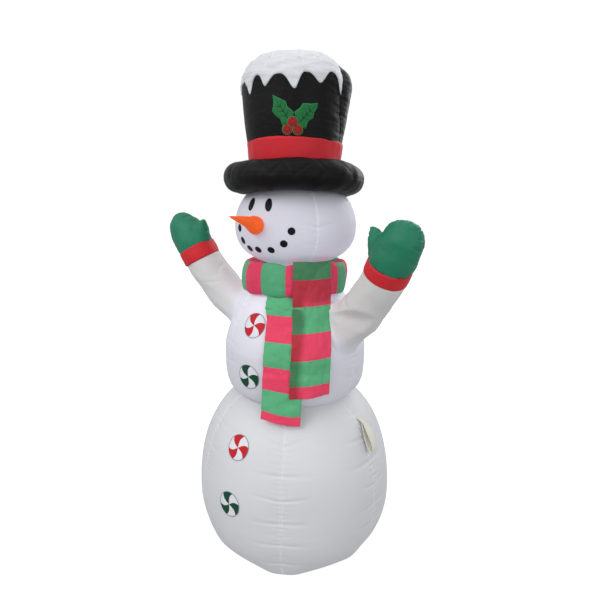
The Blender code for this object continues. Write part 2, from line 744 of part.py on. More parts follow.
def outward_tube(shape, middle):
    """Turn a tube's faces away from a point near its axis."""
    shape.normal_update()
    middle = Vector(middle)
    total = sum((face.normal.dot(face.calc_center_median() - middle) for face in shape.faces), 0.0)
    if total < 0:
        bmesh.ops.reverse_faces(shape, faces=shape.faces)


def capped(shape, sides):
    """Close a tube's open foot, with its faces out."""
    shape.verts.ensure_lookup_table()
    shape.faces.new(list(shape.verts)[:sides])
    bmesh.ops.recalc_face_normals(shape, faces=shape.faces)
    return shape


def mitten(side, points, frames):
    """The mitten's body and thumb as one sheet, open at the wrist."""
    palm = capped(tube(points, frames, MITTEN_HALF_WIDTH, MITTEN_HALF_DEPTH, ARM_SIDES, tip=True), ARM_SIDES)
    base = Vector((THUMB_BASE.x * side, THUMB_BASE.y, THUMB_BASE.z))
    end = Vector((THUMB_TIP.x * side, THUMB_TIP.y, THUMB_TIP.z))
    path = [base + (end - base) * share for share in (0.0, 0.3, 0.6, 0.82, 0.95)]
    radii = [THUMB_RADIUS * share for share in (1.0, 1.0, 0.88, 0.58, 0.25)]
    thumb = capped(tube(path, frames_along(path, Vector((0, 1, 0))), radii, radii, 12, tip=True), 12)

    whole = joined([palm, thumb])
    everything = list(whole.verts) + list(whole.edges) + list(whole.faces)
    along = frames[0][0]
    wrist = points[0] + along * GAP
    bmesh.ops.bisect_plane(whole, geom=everything, plane_co=wrist, plane_no=along, clear_inner=True)
    bmesh.ops.remove_doubles(whole, verts=whole.verts, dist=0.0004)
    return whole


# ---------------------------------------------------------------- tether loops
def tether_loops():
    """Webbing loops sewn into the side seams below the waist."""
    for side, label in ((1.0, "left"), (-1.0, "right")):
        foot = LOOP_TOP_Z - LOOP_LENGTH
        surface = ball_radius(LOWER, LOOP_TOP_Z) + 0.0035
        slope = (ball_radius(LOWER, foot) - ball_radius(LOWER, LOOP_TOP_Z) + 0.012) / LOOP_LENGTH
        outline = []
        count = 22
        for j in range(count):
            angle = 2.0 * math.pi * j / count
            down = LOOP_LENGTH * (0.5 - 0.5 * math.cos(angle))
            bulge = (0.0022 + LOOP_BULGE * (down / LOOP_LENGTH) ** 0.8) * math.sin(angle)
            outline.append((surface + slope * down + bulge + 0.004, LOOP_TOP_Z - down))
        rows = []
        for x, z in outline:
            rows.append([Vector((side * x, y, z)) for y in (-LOOP_WIDTH / 2, 0.0, LOOP_WIDTH / 2)])
        shape = sheet(rows + [rows[0]])
        bmesh.ops.remove_doubles(shape, verts=shape.verts, dist=1e-6)
        bmesh.ops.recalc_face_normals(shape, faces=shape.faces)
        centre = (side * (surface + slope * LOOP_LENGTH / 2 + 0.004), 0.0, LOOP_TOP_Z - LOOP_LENGTH / 2)
        outward_tube(shape, centre)
        place = (side * (surface + 0.004), 0.0, LOOP_TOP_Z)
        thicken(add_object(f"tether_loop_{label}", shape, "webbing", place=place), LOOP_WEB)


# ---------------------------------------------------------------- blower and power inlet
def blower():
    """Housing with motor spider, motor, impeller and grille."""
    centre = (0.0, BLOWER_Z)
    low, high = BLOWER_Y
    inner = BLOWER_RADIUS - BLOWER_WALL
    shapes = [cylinder_y(BLOWER_RADIUS, low, high, 32, centre, inner)]
    shapes.append(cylinder_y(MOTOR_RADIUS + 0.002, low, low + 0.006, 24, centre))
    for i in range(3):
        strut = box((0.010, low, -0.004), (inner + 0.001, low + 0.005, 0.004))
        turn = Matrix.Rotation(math.radians(90.0 + 120.0 * i), 4, "Y")
        strut.transform(Matrix.Translation((0.0, 0.0, BLOWER_Z)) @ turn)
        shapes.append(strut)
    add_object("blower_housing", joined(shapes), "black_plastic")

    can = cylinder_y(MOTOR_RADIUS, MOTOR_Y[0], MOTOR_Y[1], 24, centre)
    made = add_object("blower_motor", can, "motor_steel")
    bore = cylinder_y(SHAFT_RADIUS + GAP, MOTOR_Y[1] - 0.010, MOTOR_Y[1] + 0.01, 24, centre)
    combine(made, cutter("shaft_bore", bore), "DIFFERENCE")

    shapes = [cylinder_y(HUB_RADIUS, IMPELLER_Y[0], IMPELLER_Y[1], 24)]
    shapes.append(cylinder_y(SHAFT_RADIUS, MOTOR_Y[1] - 0.009, IMPELLER_Y[0] + 0.002, 24))
    for i in range(BLADES):
        blade = box((HUB_RADIUS - 0.002, -0.0009, -0.011), (BLADE_TIP, 0.0009, 0.011))
        pitch = Matrix.Rotation(math.radians(35.0), 4, "X")
        turn = Matrix.Rotation(2.0 * math.pi * i / BLADES, 4, "Y")
        blade.transform(Matrix.Translation((0.0, sum(IMPELLER_Y) / 2, 0.0)) @ turn @ pitch)
        shapes.append(blade)
    impeller = joined(shapes)
    impeller.transform(Matrix.Translation((0.0, 0.0, BLOWER_Z)))
    add_object("blower_impeller", impeller, "grey_plastic", place=(0.0, sum(IMPELLER_Y) / 2, BLOWER_Z))

    face = high + GAP
    shapes = []
    for radius in GRILLE_RINGS:
        shapes.append(cylinder_y(radius, face, face + 0.003, 20, centre, radius - 0.0035))
    reach = GRILLE_RINGS[0] - 0.0015
    for i in range(4):
        bar = box((-reach, face + 0.0005, -0.0015), (reach, face + 0.0025, 0.0015))
        turn = Matrix.Rotation(math.radians(22.5 + 45.0 * i), 4, "Y")
        bar.transform(Matrix.Translation((0.0, 0.0, BLOWER_Z)) @ turn)
        shapes.append(bar)
    add_object("blower_grille", joined(shapes), "black_plastic")


def inlet_cylinder(radius, low, high, bore=0.0):
    """A cylinder along the outward direction at the power inlet."""
    shape = cylinder_y(radius, low, high, 20, inner=bore)
    reach = ball_radius(LOWER, INLET_Z)
    angle = math.radians(180.0 - INLET_AZIMUTH)
    place = around(reach, INLET_AZIMUTH, INLET_Z)
    shape.transform(Matrix.Translation(place) @ Matrix.Rotation(-angle, 4, "Z"))
    return shape


def power_inlet():
    """Socket barrel for the low-voltage supply, through the rear gore."""
    barrel = inlet_cylinder(0.0062, -0.014, 0.004)
    flange = inlet_cylinder(0.0100, 0.0028, 0.0052)
    made = add_object("power_inlet", joined([barrel, flange]), "black_plastic")
    combine(made, cutter("socket_bore", inlet_cylinder(0.0028, -0.009, 0.02)), "DIFFERENCE")


# ---------------------------------------------------------------- zip
def zip_radius_centre():
    """Centre (y, z) and radius of the circle through the zip's two ends and its middle."""
    heights = (ZIP_Z[0], sum(ZIP_Z) / 2, ZIP_Z[1])
    start, middle, end = [Vector((ball_radius(LOWER, z), z)) for z in heights]
    first, second = middle - start, end - start
    along = first.x * second.length_squared - second.x * first.length_squared
    across = second.y * first.length_squared - first.y * second.length_squared
    offset = Vector((across, along)) / (2.0 * first.cross(second))
    return start + offset, offset.length


def zip_arc(offset, angle):
    """A point on an arc outside the zip; the angle is measured at the arc's centre."""
    centre, radius = zip_radius_centre()
    return centre + Vector((math.cos(angle), math.sin(angle))) * (radius + offset)


def zip_fastener():
    """Tape, slider and pull tab of the deflation zip."""
    rows = []
    for z in even_heights(LOWER, ZIP_Z[0], ZIP_Z[1], 10):
        slope = (ball_radius(LOWER, z + 0.002) - ball_radius(LOWER, z - 0.002)) / 0.004
        row = []
        for j in range(5):
            lift = 0.0022 if j == 2 else 0.0016
            across = ZIP_WIDTH * (j / 4 - 0.5)
            azimuth = 180.0 + math.degrees(across / ball_radius(LOWER, z))
            outward = (around(1.0, azimuth, 0.0) - Vector((0, 0, slope))).normalized()
            row.append(around(ball_radius(LOWER, z), azimuth, z) + outward * lift)
        rows.append(row)
    thicken(add_object("zip_tape", sheet(rows), "zip_nylon"), 0.0011)

    centre, radius = zip_radius_centre()
    rest = math.asin((ZIP_Z[1] - centre[1]) / radius) - ZIP_STOP / radius
    out = zip_arc(SLIDER_LIFT, rest)
    place = Vector((0.0, out[0], out[1]))
    lean = Matrix.Rotation(rest, 4, "X")
    slider = box((-0.0055, 0.0, -0.0070), (0.0055, 0.0026, 0.0070))
    arch = box((-0.0012, 0.0020, -0.0045), (0.0012, 0.0072, 0.0045))
    body = joined([slider, arch])
    body.transform(Matrix.Translation(place) @ lean)
    made = add_object("zip_slider", body, "zip_metal", place=place)
    eye = box((-0.01, 0.0031, -0.0030), (0.01, 0.0058, 0.0030))
    eye.transform(Matrix.Translation(place) @ lean)
    combine(made, cutter("slider_eye", eye), "DIFFERENCE")

    tab = box((-0.0042, 0.0039, -0.0220), (0.0042, 0.0051, 0.0021))
    tab.transform(Matrix.Translation(place) @ lean)
    pivot = place + lean @ Vector((0.0, 0.0045, 0.0015))
    made = add_object("zip_pull", tab, "zip_metal", place=pivot)
    window = box((-0.0018, 0.0, -0.0062), (0.0018, 0.02, 0.0009))
    window.transform(Matrix.Translation(place) @ lean)
    combine(made, cutter("tab_window", window), "DIFFERENCE")


# ---------------------------------------------------------------- lamps and lead
def cable(name, route):
    """A round cable through its route points, smoothed."""
    smooth = []
    points = [Vector(point) for point in route]
    padded = [points[0]] + points + [points[-1]]
    for a, b, c, d in zip(padded, padded[1:], padded[2:], padded[3:]):
        for step in range(4):
            t = step / 4
            smooth.append(0.5 * ((2 * b) + (c - a) * t + (2 * a - 5 * b + 4 * c - d) * t * t
                                 + (3 * b - a - 3 * c + d) * t ** 3))
    smooth.append(points[-1])
    curve = bpy.data.curves.new(name, "CURVE")
    curve.dimensions = "3D"
    curve.bevel_depth = 0.002
    curve.bevel_resolution = 2
    curve.use_fill_caps = True
    spline = curve.splines.new("POLY")
    spline.points.add(len(smooth) - 1)
    for point, place in zip(spline.points, smooth):
        point.co = (*place, 1.0)
    made = bpy.data.objects.new(name, curve)
    bpy.context.collection.objects.link(made)
    curve.materials.append(material("cable_pvc"))


def lamp(name, z):
    """A lamp: socket below, round lens above."""
    rows = ((0.0001, -0.020), (0.007, -0.020), (0.009, -0.014), (0.009, 0.0), (0.016, 0.008), (0.021, 0.020),
            (0.021, 0.030), (0.016, 0.041), (0.007, 0.048), (0.0001, 0.050))
    shape = turned_ring([(radius, z + height) for radius, height in rows], 22.5)
    bmesh.ops.remove_doubles(shape, verts=shape.verts, dist=0.0003)
    bmesh.ops.recalc_face_normals(shape, faces=shape.faces)
    shape.transform(Matrix.Translation((0.0, 0.015, 0.0)))
    add_object(name, shape, "lamp_lens")


def lighting():
    """Two lamps on a lead that climbs from the blower."""
    lamp("lamp_torso", 0.610)
    cable("lamp_lead_lower", ((0.0, 0.2060, 0.145), (0.0, 0.185, 0.150), (0.0, 0.15, 0.17),
                              (0.0, 0.10, 0.235), (0.0, 0.045, 0.31), (0.0, 0.016, 0.37),
                              (0.0, 0.015, 0.4117)))
    cable("lamp_lead_upper", ((0.0, 0.015, 0.4123), (0.0, 0.015, 0.45), (0.002, 0.013, 0.49),
                              (-0.002, 0.017, 0.53), (0.0, 0.015, 0.57), (0.0, 0.015, 0.5897)))


def main():
    """Build the whole snowman in an empty scene."""
    for thing in list(bpy.data.objects):
        bpy.data.objects.remove(thing)
    base_panel()
    lower_gores()
    torso_gores()
    head_panels()
    face()
    buttons()
    frame = hat_frame()
    crown(frame)
    snow_drips(frame)
    holly(frame)
    scarf()
    arm(1.0, "left")
    arm(-1.0, "right")
    tether_loops()
    blower()
    power_inlet()
    zip_fastener()
    lighting()


main()
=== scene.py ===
"""Looks of the inflatable yard snowman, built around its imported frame.

Metres, +Z up, the snowman faces -Y. Azimuths are degrees round +Z from the front (-Y),
positive towards +X. The balls, hat and arms repeat the driving sizes of the CAD part.
"""
import math
import random

import bmesh
import bpy
import numpy as np
from mathutils import Matrix, Vector


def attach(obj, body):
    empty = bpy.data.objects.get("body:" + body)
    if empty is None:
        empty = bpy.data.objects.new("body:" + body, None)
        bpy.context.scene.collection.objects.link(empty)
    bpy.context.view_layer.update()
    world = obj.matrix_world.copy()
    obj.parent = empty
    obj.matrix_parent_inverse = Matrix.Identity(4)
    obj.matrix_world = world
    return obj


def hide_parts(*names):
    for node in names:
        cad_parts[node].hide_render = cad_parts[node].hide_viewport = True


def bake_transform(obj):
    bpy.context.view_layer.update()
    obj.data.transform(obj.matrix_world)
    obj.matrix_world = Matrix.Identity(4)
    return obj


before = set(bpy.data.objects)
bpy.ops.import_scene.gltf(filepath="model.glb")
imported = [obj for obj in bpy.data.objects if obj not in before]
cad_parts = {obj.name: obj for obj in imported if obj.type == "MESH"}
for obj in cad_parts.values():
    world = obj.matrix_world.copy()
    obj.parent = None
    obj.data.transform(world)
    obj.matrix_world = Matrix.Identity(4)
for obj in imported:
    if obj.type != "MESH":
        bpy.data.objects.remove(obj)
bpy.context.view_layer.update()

WORLD_UP = Vector((0.0, 0.0, 1.0))

# ---------------------------------------------------------------- sizes shared with the CAD part
# Each ball is (centre height, radius, height above and below the centre, two exponents).
LOWER = (0.139, 0.260, 0.317, 0.213, 2.29, 2.29)
TORSO = (0.536, 0.184, 0.255, 0.135, 1.43, 5.0)
HEAD = (0.841, 0.153, 0.130, 0.098, 2.0, 2.4)
HEX_FADE = 0.085         # height over which the foot's six sides fade into the round ball
FOOT_SPREAD = 1.118      # the floor panel is cut this much wider than the ball would be there
CORNER_CUT = 0.912       # the foot's six corners are cut off square at this share of the radius
CUT_CHANGE = 0.022       # every other corner is cut off by this much less or more
WAIST_Z = 0.412
NECK_Z = 0.748
FOOT_ROUND = 0.007       # the cloth rounds under at the foot

HAT_ORIGIN = Vector((-0.0022, -0.0016, 0.995))
HAT_TURN = 36.0
HAT_TILT = (-3.0, -1.2)
CROWN_FOOT = (0.1038, -0.030)    # radius and height, as for the shoulder
CROWN_SHOULDER = (0.1305, 0.168)
CROWN_ROUND = (0.078, 0.072)   # width and height of the rounded top edge
CROWN_DOME = 0.0115      # the top bulges up by this much
CROWN_LEAN = 17.0        # degrees that the left seam turns back between the snow and the band
CROWN_SEAMS = (-123.75, 56.25)   # azimuths in the hat's own frame
FRONT_EDGE = 34.0        # degrees of the top's rounding where the front panel ends, under the snow
REAR_EDGE = 39.0         # degrees of the top's rounding where the rear panel ends under the snow's top
REAR_FULL = 0.0052       # how far the rear panel stands out past the front one
SNOW_EDGE = 66.0         # degrees of the top's rounding where the snow's upper edge lies
SNOW_LIFT = 0.0026
CROWN_SWELL = (0.0024, 0.028)    # how far the cloth beside a seam is drawn in, and over what distance
BAND_Z = (-0.004, 0.041)
BAND_LIFT = 0.0030
BRIM_CENTRE = (0.1385, -0.0415)  # radius and height of the middle of its tube
BRIM_TUBE = 0.0365

NOSE_BASE = Vector((0.005, -0.1545, 0.848))
NOSE_TIP = Vector((0.009, -0.2500, 0.873))
NOSE_RADIUS = 0.0192
BUTTON_RADIUS = 0.0305
EYE_TILT = math.radians(10.0)

SIDES = ((1.0, "left"), (-1.0, "right"))   # of the arms and the tether loops: sign of X, label
# Places along the left arm's middle, and its half widths and half depths at them.
ARM_PATH = ((0.115, 0.002, 0.552), (0.165, -0.011, 0.600), (0.2165, -0.034, 0.6535),
            (0.252, -0.046, 0.697), (0.2825, -0.058, 0.740), (0.2915, -0.0615, 0.757),
            (0.3000, -0.0650, 0.7735), (0.3105, -0.068, 0.790), (0.3220, -0.0715, 0.810),
            (0.3305, -0.074, 0.830), (0.3350, -0.0755, 0.848), (0.3365, -0.076, 0.861),
            (0.3370, -0.0765, 0.8685))
ARM_WIDTHS = (0.0555, 0.0550, 0.0530, 0.0510, 0.0500, 0.0510, 0.0505, 0.0535, 0.0545, 0.0505,
              0.0415, 0.0275, 0.0115)
ARM_DEPTHS = (0.0555, 0.0550, 0.0530, 0.0510, 0.0500, 0.0510, 0.0500, 0.0480, 0.0440, 0.0390,
              0.0310, 0.0200, 0.0090)
# The left arm against the right one: its share of the width at each place, and how far
# the place is raised and moved in X.
LEFT_SLIM = (1.0, 1.0, 0.98, 0.96, 0.94, 0.94, 0.955, 0.95, 0.92, 0.90, 0.83, 0.78, 0.88)
LEFT_RISE = (0.0, 0.0, 0.0, 0.0, 0.0, 0.0, 0.0, 0.002, 0.005, 0.0085, 0.0095, 0.0055, 0.0013)
LEFT_LEAN = (0.0, 0.0, 0.0, 0.0, 0.0, 0.0, 0.0, 0.0, -0.001, -0.002, -0.0060, -0.0093, -0.0113)
# How far each cuff's lower and upper edges are turned level from square to the arm.
CUFF_TURN = {1.0: (0.0, math.radians(4.0)), -1.0: (math.radians(8.0), math.radians(2.5))}
RIGHT_LEAN = -0.00075    # the right arm is moved this much more in X at each place past the knuckle
WRIST, KNUCKLE = 4, 6    # places on the arm's path where the cuff and the mitten start
ARM_STEPS = 10           # frames to each place on the arm's path
ARM_SIDES = 128          # points round a sleeve and its cuff
SLEEVE_START = 1.9       # place on the path where the sleeve's root ends
SLEEVE_BEND = 0.055      # a length along the arm from the sleeve's root; no shape depends on it
MITTEN_VOXEL = 0.0042    # grid on which palm and thumb become one skin
# The thumb: places along it as (x, y, z, half width, half depth), on the left arm.
THUMB = ((0.2720, -0.068, 0.783, 0.0210, 0.0230), (0.2705, -0.069, 0.800, 0.0225, 0.0230),
         (0.2690, -0.070, 0.817, 0.0220, 0.0220), (0.2670, -0.071, 0.831, 0.0195, 0.0185),
         (0.2630, -0.072, 0.8415, 0.0145, 0.0135), (0.2570, -0.072, 0.8485, 0.0080, 0.0085),
         (0.2520, -0.072, 0.8530, 0.0022, 0.0025))
ROOT_FILLET = (0.016, 0.030)   # the sleeve widens by this much under and over its seam on the torso
FRONT_FILLET = 0.012           # and by this much more at the front
# Seeds of the random draws on each arm: two ripples, creases, the cuff's ripple and the mitten's gathers.
ARM_SEEDS = {1.0: (81, 83, 85, 91, 95), -1.0: (82, 84, 86, 92, 96)}

TAIL_WIDTH = 0.096
TAIL_LIFT = 0.0035       # distance from the chest to the under tail, and from it to the front tail
TAIL_DROP_RADIUS = 0.1905    # where the tails hang straight down
TAIL_FLARE = 0.0065      # the under tail's foot swings out by this much
TAIL_THICKNESS = 0.0007
OVER_COLLAR_RADIUS = 0.1395   # where the front tail lies over the collar
UNDER_TAIL_AZIMUTH = 27.0     # the under tail's middle
FRONT_TAIL_EDGE = 35.0        # the front tail's edge that is nearer the front
UNDER_TAIL_Z = (0.388, 0.6770)     # foot and hinge
FRONT_TAIL_Z = (0.4535, 0.7660)


# ---------------------------------------------------------------- materials
def nodes_of(material):
    """Shader, links and a maker of nodes for a material."""
    material.use_nodes = True
    tree = material.node_tree
    return tree.nodes["Principled BSDF"], tree.links, tree.nodes.new


def started(name):
    """A new material with its shader, links, maker of nodes and the piece's own coordinates."""
    made = bpy.data.materials.new(name)
    shader, links, new = nodes_of(made)
    return made, shader, links, new, new("ShaderNodeTexCoord").outputs["Object"]


def set_inputs(node, **values):
    """Set a node's inputs by name, with spaces written as underscores."""
    for name, value in values.items():
        node.inputs[name.replace("_", " ")].default_value = value


def noise(new, links, where, scale, detail=2.0, rough=0.5):
    """A noise texture in the piece's own space."""
    made = new("ShaderNodeTexNoise")
    set_inputs(made, Scale=scale, Detail=detail, Roughness=rough)
    links.new(where, made.inputs["Vector"])
    return made.outputs["Fac"]


def ramp(new, links, fac, low, high, start=0.3, end=0.7):
    """A colour ramp between two colours."""
    made = new("ShaderNodeValToRGB")
    made.color_ramp.elements[0].position = start
    made.color_ramp.elements[1].position = end
    made.color_ramp.elements[0].color = (*low, 1.0)
    made.color_ramp.elements[1].color = (*high, 1.0)
    links.new(fac, made.inputs["Fac"])
    return made.outputs["Color"]


def math_node(new, links, operation, *values):
    """A math node over sockets and numbers."""
    made = new("ShaderNodeMath")
    made.operation = operation
    for socket, value in zip(made.inputs, values):
        if isinstance(value, (int, float)):
            socket.default_value = value
        else:
            links.new(value, socket)
    return made.outputs["Value"]


def bump(new, links, height, distance, strength=1.0, below=None):
    """A bump node, on top of another one if given."""
    made = new("ShaderNodeBump")
    set_inputs(made, Strength=strength, Distance=distance)
    links.new(height, made.inputs["Height"])
    if below is not None:
        links.new(below, made.inputs["Normal"])
    return made.outputs["Normal"]


def ranged(new, links, value, low, high, start=0.0, end=1.0, smooth=False):
    """A value from start to end, mapped to low to high."""
    made = new("ShaderNodeMapRange")
    if smooth:
        made.interpolation_type = "SMOOTHSTEP"
    set_inputs(made, From_Min=start, From_Max=end, To_Min=low, To_Max=high)
    links.new(value, made.inputs["Value"])
    return made.outputs["Result"]


def threads(new, links, where, pitch):
    """Plain weave: two sets of threads that cross, in the piece's own space."""
    heights = []
    for direction in ("X", "Z"):
        wave = new("ShaderNodeTexWave")
        wave.wave_type = "BANDS"
        wave.bands_direction = direction
        # A wave texture of scale 1 repeats every pi / 10 metres.
        set_inputs(wave, Scale=math.pi / 10.0 / pitch, Distortion=0.4, Detail=1.0, Detail_Scale=2.0)
        links.new(where, wave.inputs["Vector"])
        heights.append(wave.outputs["Fac"])
    return math_node(new, links, "ADD", *heights)


def fabric(name, colour, vary=0.05, rough=0.5, weave=0.0006, crinkle=0.0005, sheen=0.15, alpha=1.0, glow=None,
           shine=0.42, painted_light_mix=None):
    """Coated woven nylon: soft blotches of tone, crinkles and a fine plain weave.

    The mix of painted light and shade is (attribute, colour, share): where the piece stores that mask, the
    cloth takes that colour.
    glow is (place, colour, strength, (near, far)): painted light, an emission that makes the cloth shine as
    if a lamp stood behind it there.
    """
    made, shader, links, new, where = started(name)
    dark = [c * (1.0 - vary) for c in colour]
    light = [min(1.0, c * (1.0 + vary)) for c in colour]
    tinted = ramp(new, links, noise(new, links, where, 7.0, 4.0), dark, light)
    if painted_light_mix:
        painted_light_mask = new("ShaderNodeAttribute")
        painted_light_mask.attribute_name = painted_light_mix[0]
        mixed = new("ShaderNodeMix")
        mixed.data_type = "RGBA"
        links.new(math_node(new, links, "MULTIPLY", painted_light_mask.outputs["Fac"], painted_light_mix[2]), mixed.inputs[0])
        links.new(tinted, mixed.inputs[6])
        mixed.inputs[7].default_value = (*painted_light_mix[1], 1.0)
        tinted = mixed.outputs[2]
    links.new(tinted, shader.inputs["Base Color"])
    mottled = noise(new, links, where, 38.0, 3.0)
    links.new(ranged(new, links, mottled, rough - 0.07, rough + 0.09), shader.inputs["Roughness"])
    soft = bump(new, links, noise(new, links, where, 26.0, 5.0, 0.62), crinkle * 4.0, 0.55)
    fine = bump(new, links, threads(new, links, where, weave), weave * 0.16, 0.5, soft)
    links.new(fine, shader.inputs["Normal"])
    set_inputs(shader, Sheen_Weight=sheen, Sheen_Roughness=0.4, Alpha=alpha, Specular_IOR_Level=shine)
    if glow:
        lamp, tint, strength, reach = glow
        gap = new("ShaderNodeVectorMath")
        gap.operation = "DISTANCE"
        gap.inputs[1].default_value = lamp
        links.new(where, gap.inputs[0])
        fade = ranged(new, links, gap.outputs["Value"], strength, 0.0, *reach, smooth=True)
        links.new(fade, shader.inputs["Emission Strength"])
        set_inputs(shader, Emission_Color=(*tint, 1.0))
    return made


def moulded(name, colour, rough=0.4, metallic=0.0, coat=0.0):
    """Moulded plastic or cast metal with a fine grain and handling marks."""
    made, shader, links, new, where = started(name)
    dark = [c * 0.86 for c in colour]
    light = [min(1.0, c * 1.12) for c in colour]
    links.new(ramp(new, links, noise(new, links, where, 60.0, 5.0), dark, light), shader.inputs["Base Color"])
    worn = noise(new, links, where, 170.0, 3.0)
    links.new(ranged(new, links, worn, rough - 0.08, rough + 0.12), shader.inputs["Roughness"])
    grainy = noise(new, links, where, 1400.0, 2.0)
    links.new(bump(new, links, grainy, 0.0002, 0.4), shader.inputs["Normal"])
    set_inputs(shader, Metallic=metallic, Coat_Weight=coat)
    return made


# Painted light: the torso and head are the lower ball's white nylon, tinted lavender and given an emission
# for the lamp's light inside; the head's glow also lightens its shaded lower part.
LAVENDER = (0.80, 0.78, 1.0)
CHEST_GLOW = ((0.0, 0.0, 0.66), LAVENDER, 0.22, (0.08, 0.26))
# Painted highlight: the paler colour along the seams stands in for the light that their rounded edges catch.
PAINTED_SEAM_HIGHLIGHT = ("seam", (0.86, 0.86, 0.90), 0.75)
PRINTED = {"rough": 0.5, "sheen": 0.0}
SCARF = {"vary": 0.09, "rough": 0.55, "weave": 0.0009, "crinkle": 0.0018, "sheen": 0.05, "shine": 0.25}
TAIL = {**SCARF, "crinkle": 0.0020, "alpha": 0.93}
MATERIALS = {
    "lower": fabric("lower_white", (0.715, 0.725, 0.745), 0.018, 0.42, crinkle=0.00035, painted_light_mix=PAINTED_SEAM_HIGHLIGHT),
    "torso": fabric("torso_white", (0.735, 0.735, 0.80), 0.015, 0.44, crinkle=0.00035, glow=CHEST_GLOW,
                    painted_light_mix=PAINTED_SEAM_HIGHLIGHT),
    "head": fabric("head_white", (0.68, 0.675, 0.755), 0.015, 0.44, crinkle=0.00035,
                   glow=((0.0, 0.0, 0.735), LAVENDER, 0.26, (0.09, 0.24)), painted_light_mix=PAINTED_SEAM_HIGHLIGHT),
    # Painted light: the sleeve shares the chest's glow, and near its root it takes the torso's lamp-lit tint,
    # which lightens the shaded join.
    "sleeve": fabric("sleeve_white", (0.71, 0.700, 0.695), 0.02, 0.46, crinkle=0.0005, glow=CHEST_GLOW,
                     painted_light_mix=("root", (0.735, 0.735, 0.80), 1.0)),
    "snow": fabric("snow_white", (0.72, 0.735, 0.765), 0.07, 0.5, crinkle=0.0008),
    "black": fabric("hat_black", (0.0040, 0.0040, 0.0048), 0.15, 0.41, crinkle=0.0009, sheen=0.0, shine=0.14),
    "red": fabric("band_red", (0.66, 0.020, 0.030), 0.06, 0.45, sheen=0.0, shine=0.25),
    "green": fabric("mitten_green", (0.012, 0.200, 0.108), 0.08, 0.42, crinkle=0.0006, sheen=0.0, shine=0.3),
    # Painted light: the nose's glow is an emission that brightens it, its shaded underside too.
    "orange": fabric("nose_orange", (1.0, 0.130, 0.014), 0.06, 0.42, crinkle=0.0004, sheen=0.0, shine=0.3,
                     glow=((0.0, 0.0, 0.86), (1.0, 0.12, 0.015), 0.22, (0.20, 0.60))),
    "mint_red": fabric("mint_red", (0.56, 0.008, 0.020), 0.04, **PRINTED, shine=0.25),
    "mint_green": fabric("mint_green", (0.004, 0.062, 0.030), 0.06, **PRINTED, shine=0.2),
    "mint_white": fabric("mint_white", (0.80, 0.80, 0.84), 0.01, 0.5),
    "mint_line": fabric("mint_line", (0.24, 0.25, 0.31), 0.03, 0.5),
    "coal": fabric("coal_black", (0.005, 0.005, 0.010), 0.10, 0.42, sheen=0.0, shine=0.15),
    "holly": fabric("holly_green", (0.014, 0.185, 0.050), 0.30, **PRINTED, shine=0.2),
    "holly_edge": fabric("holly_edge", (0.030, 0.330, 0.095), 0.10, **PRINTED, shine=0.2),
    "vein": fabric("holly_vein", (0.002, 0.022, 0.007), 0.10, **PRINTED, shine=0.15),
    "berry": fabric("holly_berry", (0.38, 0.018, 0.016), 0.15, **PRINTED, shine=0.2),
    "berry_dark": fabric("berry_dark", (0.12, 0.006, 0.006), 0.15, **PRINTED, shine=0.2),
    "scarf_red": fabric("scarf_red", (0.78, 0.048, 0.125), **SCARF),
    "scarf_green": fabric("scarf_green", (0.092, 0.400, 0.200), **SCARF),
    # Painted shade: the front tail takes these darker colours where it lies over the under tail and the
    # collar.
    "tail_red": fabric("tail_red", (0.94, 0.066, 0.148), **TAIL,
                       painted_light_mix=("painted_overlap_shade", (0.50, 0.030, 0.048), 1.0)),
    "tail_green": fabric("tail_green", (0.120, 0.500, 0.240), **TAIL,
                         painted_light_mix=("painted_overlap_shade", (0.060, 0.215, 0.095), 1.0)),
    "webbing": fabric("webbing_cream", (0.74, 0.72, 0.64), 0.04, 0.75, weave=0.0016, sheen=0.3),
    "black_plastic": moulded("housing_black", (0.018, 0.018, 0.019), 0.38),
    "grey_plastic": moulded("impeller_grey", (0.20, 0.20, 0.215), 0.42),
    "steel": moulded("motor_steel", (0.55, 0.55, 0.56), 0.30, 1.0),
    "lens": moulded("lamp_frost", (0.80, 0.83, 0.92), 0.25, coat=0.3),
    "cable": moulded("cable_black", (0.02, 0.02, 0.02), 0.5),
    "zip_tape": fabric("zip_tape_grey", (0.56, 0.56, 0.58), 0.05, 0.7, weave=0.0010),
    "zip_metal": moulded("zip_zinc", (0.48, 0.48, 0.47), 0.32, 1.0),
}


# ---------------------------------------------------------------- mesh helpers
def stands_for(made, node, body=None):
    """Hide the CAD node that a piece replaces and attach the piece to the body that it rides, if one is
    given.
    """
    if body:
        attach(made, body)
    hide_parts(node)


def linked(name, data):
    """A new object in the scene."""
    made = bpy.data.objects.new(name, data)
    bpy.context.scene.collection.objects.link(made)
    return made


def mesh_object(name, points, faces, *materials):
    """A smooth-shaded object from points and faces."""
    mesh = bpy.data.meshes.new(name)
    mesh.from_pydata([tuple(p) for p in points], [], faces)
    mesh.update()
    mesh.shade_smooth()
    for material in materials:
        mesh.materials.append(MATERIALS[material])
    return linked(name, mesh)


def grid_faces(rows, columns, wrap=False):
    """Quads of a grid whose rows rise and whose columns turn anticlockwise."""
    reach = columns if wrap else columns - 1
    low = np.arange(rows - 1)[:, None] * columns + np.arange(reach)[None, :]
    right = np.arange(rows - 1)[:, None] * columns + (np.arange(reach)[None, :] + 1) % columns
    return np.stack([low, right, right + columns, low + columns], axis=-1).reshape(-1, 4).tolist()


def grid_object(name, points, *materials, wrap=False):
    """An object from a grid of points."""
    rows, columns = points.shape[:2]
    return mesh_object(name, points.reshape(-1, 3), grid_faces(rows, columns, wrap), *materials)


